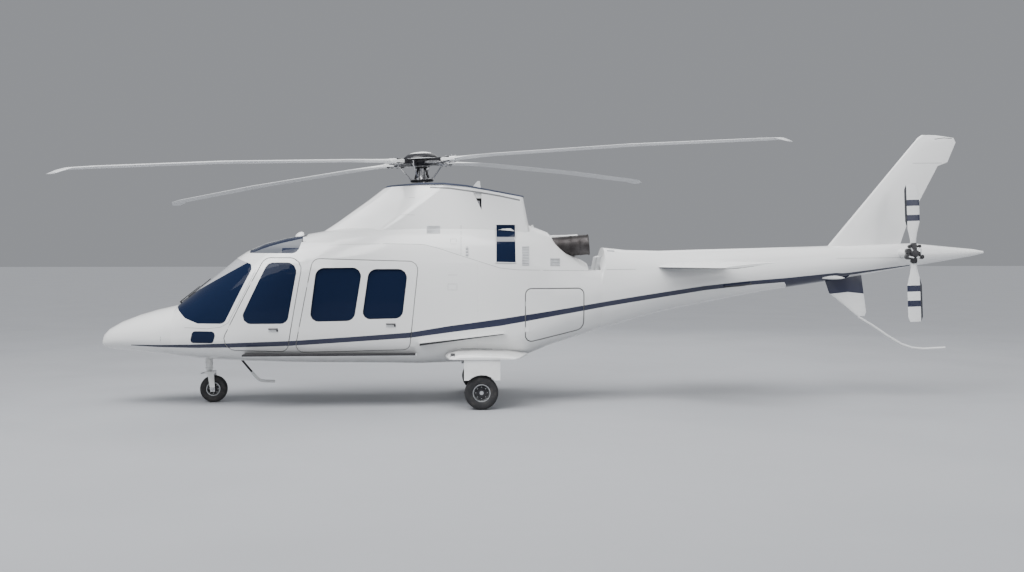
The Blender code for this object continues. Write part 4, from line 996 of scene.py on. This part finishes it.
def aerials():
    white, dark = Shape(), Shape()
    white.rod((1.847, 0, 2.885), (1.847, 0, 3.005), 0.006, 0.003)
    for outline, half in (
        ([(1.175, 2.86), (1.085, 2.968), (1.050, 2.968), (1.035, 2.845)], 0.007),
        ([(0.365, 2.33), (0.345, 2.375), (0.325, 2.372), (0.300, 2.31)], 0.010),
        ([(1.70, 2.895), (1.68, 2.925), (1.65, 2.923), (1.62, 2.89)], 0.014),
    ):
        flat_plate(white, outline, 0.0, half)
    # Bent aerial under the belly, on a dark stay
    white.pipe(arc([(4.085, 0.10, 0.408), (4.035, 0.10, 0.345), (3.980, 0.10, 0.298), (3.90, 0.10, 0.285),
                    (3.784, 0.10, 0.281)], 4), 0.018, 12)
    dark.pipe([(4.260, 0.10, 0.62), (4.085, 0.10, 0.408)], 0.014, 12)
    # Rail aerial on the tail boom
    rail = [skins.pixel(px, py) for px, py in ((724.5, 286.0), (737.0, 284.6), (750.0, 283.0))]
    dark.pipe([p + n * 0.045 for p, n, _ in rail], 0.008, 10)
    for p, n, _ in (rail[0], rail[2]):
        dark.pipe([p - n * 0.01, p + n * 0.045], 0.007, 10)
    # Streamlined fairing on the boom
    place = skins.pixel(830.5, 277.0)[0]
    rings = []
    for along, size in (
        (0.20, 0.10), (0.17, 0.55), (0.10, 0.9), (0.02, 1.0), (-0.08, 0.8), (-0.16, 0.45), (-0.20, 0.1)
    ):
        spots = [(along, 0.018 * size * c, 0.034 * size * s + along * 0.07) for c, s in circle(16)]
        rings.append([place + Vector(spot) for spot in spots])
    white.loft(rings)
    white.piece("aerials", PAINT, bevel=0.002, sharp=50)
    dark.piece("aerial_stays", DARK)


# The scoop over the cabin. Columns: x, half width, lower and upper height
SCOOP = [
    (3.533, 0.010, 2.182, 2.200),
    (3.515, 0.045, 2.180, 2.242),
    (3.480, 0.060, 2.180, 2.270),
    (3.440, 0.062, 2.180, 2.279),
    (3.412, 0.058, 2.182, 2.264),
]


def cowl_parts():
    """Scoop over the cabin, cowl tail fin, saddle before the boom, exhaust lips and liners."""
    white, saddle, lips, liners = (Shape() for _ in range(4))
    rings = []
    for x, half, low, high in SCOOP:
        spokes = [pi * k / 12 for k in range(13)]
        rings.append([(x, half * cos(a), low + (high - low) * sin(a)) for a in spokes])
    white.loft(rings)
    plan = [(0.300, 0.150, 2.215), (0.064, 0.110, 2.219), (-0.120, 0.060, 2.222), (-0.285, 0.012, 2.232)]
    white.loft([[(x, half, z), (x, 0, z + 0.014), (x, -half, z), (x, -half, z - 0.018), (x, 0, z - 0.034),
                 (x, half, z - 0.018)] for x, half, z in plan])
    outline = [(-0.500, 1.760), (-0.530, 1.935), (-0.600, 1.955), (-0.640, 1.985), (-0.665, 2.035),
               (-0.760, 2.030), (-0.760, 1.760)]
    flat_plate(saddle, outline, 0.0, 0.24)
    for side, word in SIDES:
        start = Vector((0.45, side * 0.26, 2.035))
        end = Vector((-0.40, side * 0.33, 2.105))
        along = (end - start).normalized()
        lip = [(0.122, -0.02), (0.138, -0.016), (0.143, -0.004), (0.140, 0.004), (0.130, 0.006), (0.122, 0.0)]
        lips.turn(lip, end, along, 48)
        for back in (0.12, 0.24):
            lips.turn(collar(0.134, 0.140, 0.006, 0.004), end - along * back, along, 48)
        liners.turn([(0.118, -0.30), (0.121, -0.30), (0.121, -0.004), (0.118, -0.004)], end, along, 40)
        cone = [(0.0001, -0.34), (0.119, -0.30), (0.119, -0.29), (0.040, -0.22), (0.0001, -0.12)]
        liners.turn(cone, end, along, 40)
    white.piece("cowl_scoop_and_fin", PAINT, sharp=50)
    saddle.piece("boom_saddle", PALE, bevel=0.006)
    lips.piece("exhaust_lips", EXHAUST, slot="exhaust_metal")
    liners.piece("exhaust_liners", SOOT, slot="exhaust_metal")


def underside_parts():
    """Painted shade under the strakes, as dark plates, and pale edges of the steps."""
    for side, word in SIDES:
        dark, pale = Shape(), Shape()
        # A dark plate under each strake's outer edge: painted shade
        outline = [(1.850, 0.800), (1.850, 0.829), (0.790, 0.946), (0.750, 0.944), (0.790, 0.936)]
        dark.loft([[(x, side * 0.62, z) for x, z in outline], [(x, side * 0.8865, z) for x, z in outline]])
        pale.box((2.99, side * 0.816, 0.6675), (2.18, 0.026, 0.008))
        pale.box((1.895, side * 0.80, 0.680), (0.018, 0.060, 0.030))
        dark.piece("strake_underside_" + word, DARK)
        pale.piece("step_edge_" + word, PALE, bevel=0.002)


# Outlines of the doors and windows, as (x, z, corner radius)
DOORS = {
    "pilot": [(4.432, 0.745, 0.14), (3.841, 1.930, 0.12), (3.336, 1.930, 0.15), (3.540, 0.722, 0.10)],
    "cabin": [(3.446, 0.712, 0.09), (3.218, 1.921, 0.10), (1.862, 1.882, 0.11), (1.979, 0.741, 0.09)],
    "baggage": [(0.479, 0.815, 0.08), (0.479, 1.528, 0.08), (-0.308, 1.526, 0.08), (-0.308, 0.985, 0.10)],
}
WINDOWS = [
    ("pilot_door", [(4.162, 1.080, 0.10), (3.795, 1.870, 0.11), (3.401, 1.870, 0.12), (3.536, 1.084, 0.10)]),
    ("cabin_door", [(3.256, 1.108, 0.10), (3.172, 1.799, 0.11), (2.580, 1.805, 0.11), (2.688, 1.119, 0.11)]),
    ("cabin_door", [(2.590, 1.137, 0.09), (2.500, 1.785, 0.11), (1.998, 1.785, 0.11), (2.072, 1.148, 0.10)]),
    ("root", [(4.795, 0.832, 0.04), (4.758, 0.988, 0.05), (4.445, 0.986, 0.05), (4.490, 0.832, 0.04)]),
]


def off_gap(place, step, side):
    """The skin beside a line, a little further off where the first try falls in a gap."""
    for reach in (1.0, 1.3, 1.7, 2.2, 3.0):
        try:
            return everything.flank(*(place + step * reach), side)[:2]
        except ValueError:
            continue
    raise ValueError("no skin beside %s" % place)


def round_line(corners, side):
    """Places on the skin just outside and just inside an outline, for each point along it."""
    line = rounded(corners)
    route = [p for a, b in zip(line, line[1:] + line[:1]) for p in (a, a.lerp(b, 1 / 3), a.lerp(b, 2 / 3))]
    middle = sum((Vector(p) for p in route), Vector((0, 0))) / len(route)
    pairs = []
    for i, p in enumerate(route):
        along = (route[(i + 1) % len(route)] - route[i - 1]).normalized()
        out = Vector((along.y, -along.x))
        if out.dot(p - middle) < 0:
            out = -out
        pairs.append([off_gap(p, out * s, side) for s in (0.008, -0.008)])
    return pairs


def ring_strip(pairs, start, end, lift):
    """A closed ribbon between two shares of the way across a line."""
    shape = Shape()
    for (outer, out_normal), (inner, in_normal) in pairs:
        normal = (out_normal + in_normal).normalized()
        shape.points += [outer.lerp(inner, start) + normal * lift, outer.lerp(inner, end) + normal * lift]
    count = len(shape.points)
    shape.faces = [(i, i + 1, (i + 3) % count, (i + 2) % count) for i in range(0, count, 2)]
    return shape


def seals():
    """Pale seals in the door gaps and dark rubber round the side windows."""
    for side, word in SIDES:
        for door, corners in DOORS.items():
            if door == "baggage" and side < 0:
                continue
            seal = ring_strip(round_line(corners, side), 0.19, 0.56, -0.0025)
            seal.piece("seal_%s_%s" % (door, word), SEAL)
        for i, (body, corners) in enumerate(WINDOWS):
            rides = body if body == "root" else "%s_%s" % (body, word)
            rubber = ring_strip(round_line(corners, side), 0.32, 0.80, 0.0006)
            rubber.piece("window_rubber_%d_%s" % (i, word), DARK, rides)


# Cabin


VOXEL = 0.013
PUFF_LIMIT = 0.014
CLOTH_FRAMES = 15


def cushion(name, corners, thick, centre, tilt, node):
    """A padded cushion: a rounded slab puffed up by cloth pressure, then capped and smoothed."""
    outline = rounded(corners, 4)
    slab = Shape()
    rings = []
    for h, shrink in ((-0.5, 0.93), (-0.32, 1.0), (0.32, 1.0), (0.5, 0.93)):
        rings.append([(p.x * shrink, p.y * shrink, h * thick) for p in outline])
    slab.loft(rings, Matrix.Translation(centre) @ Matrix.Rotation(tilt, 4, "Y"))
    made = slab.piece(name, HIDE, "root", "seat_leather")
    remesh = made.modifiers.new("remesh", "REMESH")
    remesh.mode, remesh.voxel_size = "VOXEL", VOXEL
    evaluated = made.evaluated_get(bpy.context.evaluated_depsgraph_get())
    made.data = bpy.data.meshes.new_from_object(evaluated)
    made.modifiers.clear()
    cloth = made.modifiers.new("cloth", "CLOTH")
    cloth.settings.use_pressure, cloth.settings.uniform_pressure_force = True, 4.0
    cloth.settings.effector_weights.gravity = 0.0
    cloth.settings.quality = 5
    for step in range(1, CLOTH_FRAMES + 1):
        bpy.context.scene.frame_set(step)
    evaluated = made.evaluated_get(bpy.context.evaluated_depsgraph_get())
    puffed = [v.co.copy() for v in evaluated.data.vertices]
    made.modifiers.clear()
    bpy.context.scene.frame_set(1)
    for vertex, new in zip(made.data.vertices, puffed):
        move = new - vertex.co
        vertex.co += move * min(1.0, PUFF_LIMIT / max(move.length, 1e-6))
    made.data.shade_smooth()
    finer = made.modifiers.new("finer", "SUBSURF")
    finer.levels = finer.render_levels = 1
    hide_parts(node)
    return made


def seats():
    """Pilot seats and the rear bench: cushions on dark frames."""
    rows = [("pilot_" + word, 3.72, side * 0.25, 0.165, "pilot_seat_" + word) for side, word in SIDES]
    rows += [("bench_%d" % k, 1.72, (k - 1) * 0.315, 0.145, "cabin_bench") for k in range(3)]
    frames = Shape()
    for name, x, y, half, node in rows:
        base = [(-0.20, -half, 0.05), (0.215, -half, 0.05), (0.215, half, 0.05), (-0.20, half, 0.05)]
        back = [(-0.29, -half, 0.06), (0.29, -half, 0.05), (0.29, half, 0.05), (-0.29, half, 0.06)]
        cushion("seat_base_" + name, base, 0.095, (x - 0.005, y, 0.955), radians(-3), node)
        cushion("seat_back_" + name, back, 0.085, (x - 0.272, y, 1.345), radians(90 - 8.5), node)
        frames.box((x - 0.005, y, 0.890), (0.46, half * 2 + 0.02, 0.03))
        frames.box((x - 0.005, y, 0.775), (0.30, half * 1.5, 0.21))
        frames.box((x - 0.005, y, 0.669), (0.40, half * 1.8, 0.012))
    frames.piece("seat_frames", BLACK, bevel=0.008)


def cockpit():
    """Screens in the panel, sticks, levers and pedals."""
    bezels, screens, sticks, grips = (Shape() for _ in range(4))
    tilt = Matrix.Translation((4.400, 0, 1.085)) @ Matrix.Rotation(radians(-9.5), 4, "Y")
    for y, wide in ((-0.325, 0.155), (-0.125, 0.165), (0.125, 0.165), (0.325, 0.155)):
        bezels.box((-0.004, y, 0), (0.010, wide + 0.020, 0.165), tilt)
        screens.box((-0.010, y, 0.004), (0.004, wide, 0.130), tilt)
    for k in range(5):
        bezels.box((4.345 + 0.03 * k, 0.0, 0.775 + 0.075 * k), (0.020, 0.20, 0.050))
    for side in (1, -1):
        y = side * 0.25
        sticks.pipe(arc([(4.060, y, 0.664), (4.060, y, 0.80), (4.030, y, 0.93), (4.010, y, 1.02)]), 0.012)
        handle = arc([(4.012, y, 1.005), (4.000, y, 1.06), (4.006, y, 1.115)])
        grips.pipe(handle, [0.017, 0.021, 0.022] * 4 + [0.018])
        lever = y + 0.205
        sticks.pipe([(3.62, lever, 0.70), (3.86, lever, 0.86)], 0.013)
        grips.pipe([(3.84, lever, 0.848), (3.96, lever, 0.927)], 0.019)
        for foot in (-0.09, 0.09):
            sticks.pipe([(4.58, y + foot, 0.67), (4.53, y + foot, 0.80)], 0.010)
            grips.box((4.525, y + foot, 0.815), (0.020, 0.085, 0.060))
    bezels.piece("panel_bezels", GREY, bevel=0.003)
    screens.piece("panel_screens", GLASS, bevel=0.002)
    sticks.piece("control_rods", BLACK)
    grips.piece("control_grips", DARK, bevel=0.003)


def windscreen_parts():
    """Centre post and wipers on the windscreen."""
    post, wipers = Shape(), Shape()
    run = [everything.above(4.975 - 0.62 * k / 14, 0.0)[:2] for k in range(15)]
    strip(post, run, 0.045, 0.004)
    strip(post, run, 0.055, 0.001)
    for side in (1, -1):
        base, normal, _ = everything.above(5.000, side * 0.09)
        tip, up, _ = everything.above(4.740, side * 0.16)
        wipers.rod(base + normal * 0.002, base + normal * 0.030, 0.014)
        wipers.pipe([base + normal * 0.026, tip + up * 0.024], [0.007, 0.004], 8)
        blade = [everything.above(4.90 - 0.30 * k / 8, side * (0.135 + 0.05 * k / 8)) for k in range(9)]
        wipers.pipe([p + n * 0.010 for p, n, _ in blade], 0.006, 8)
    post.piece("windscreen_post", PAINT)
    wipers.piece("wipers", DARK)


def window_corners():
    """A white block that closes the notch behind the window over each pilot."""
    for side, word in SIDES:
        block, row, rings = Shape(), [], []
        for py in (237.0, 239.0, 241.5):
            glass = everything.pixel(302.0, py, side)[0]
            skin, normal, _ = everything.pixel(307.0, py, side)
            row.append((glass.lerp(skin, 0.25), skin, normal))
        for h in (-0.01, 0.002):
            rings.append([a + n * h for a, _, n in row] + [b + n * h for _, b, n in reversed(row)])
        block.loft(rings)
        block.piece("window_corner_" + word, PAINT)


def lights_and_stage():
    """Floor, world, soft lamps and the photograph's camera."""
    look = Look("floor_pale", (0.36, 0.37, 0.39), 0.65)
    look.rough(look.cloud((0.6, 3.0), 0.3, 0.7, 0.55, 0.75))
    corners = [(x * FLOOR_HALF, y * FLOOR_HALF, 0) for x, y in ((-1, -1), (1, -1), (1, 1), (-1, 1))]
    ground = Shape().add(corners, [(0, 1, 2, 3)]).build("floor", look.made)

    world = bpy.data.worlds.new("studio")
    bpy.context.scene.world = world
    world.use_nodes = True
    sky = world.node_tree.nodes["Background"]
    sky.inputs["Color"].default_value = (0.60, 0.62, 0.66, 1.0)
    sky.inputs["Strength"].default_value = 0.50

    lamps = (
        ("key", (7.0, 7.0, 9.5), (0.8, 0.0, 1.5), 8.0, 900.0),
        ("fill", (-8.0, 9.0, 5.0), (-1.5, 0.0, 1.5), 7.0, 300.0),
        ("back", (-2.0, -11.0, 8.0), (0.0, 0.0, 1.5), 9.0, 350.0),
        ("top", (0.0, 1.0, 11.0), (0.0, 0.0, 1.0), 12.0, 800.0),
    )
    for name, spot, aim, size, power in lamps:
        lamp = bpy.data.lights.new(name, "AREA")
        lamp.shape, lamp.size, lamp.energy = "SQUARE", size, power
        made = put(name, lamp)
        made.location = spot
        made.rotation_euler = (Vector(aim) - Vector(spot)).to_track_quat("-Z", "Y").to_euler()
        made.visible_glossy = name != "top"

    # A broad distant lamp lights the whole floor evenly
    distant = bpy.data.lights.new("distant", "SUN")
    distant.energy, distant.angle = 3.0, radians(50)
    put("distant", distant).rotation_euler = Vector((-0.30, -0.45, -1.0)).to_track_quat("-Z", "Y").to_euler()

    lens = bpy.data.cameras.new("camera")
    lens.sensor_width = SENSOR
    lens.lens = FOCAL_PIXELS * SENSOR / PICTURE[0]
    lens.clip_end = 500.0
    camera = put("camera", lens)
    camera.location = EYE
    camera.rotation_euler = AHEAD.to_track_quat("-Z", "Y").to_euler()
    lens.shift_x = (PICTURE[0] / 2 - LEVEL_PIXEL[0]) / PICTURE[0]
    lens.shift_y = (LEVEL_PIXEL[1] - PICTURE[1] / 2) / PICTURE[0]
    bpy.context.scene.camera = camera


dress_nodes()
joint_lines_and_painted_shadow()
grilles()
intake_panel()
door_details()
running_gear()
rotor_head()
tail_head()
aerials()
cowl_parts()
underside_parts()
seals()
seats()
cockpit()
windscreen_parts()
window_corners()
lights_and_stage()

bpy.context.view_layer.update()
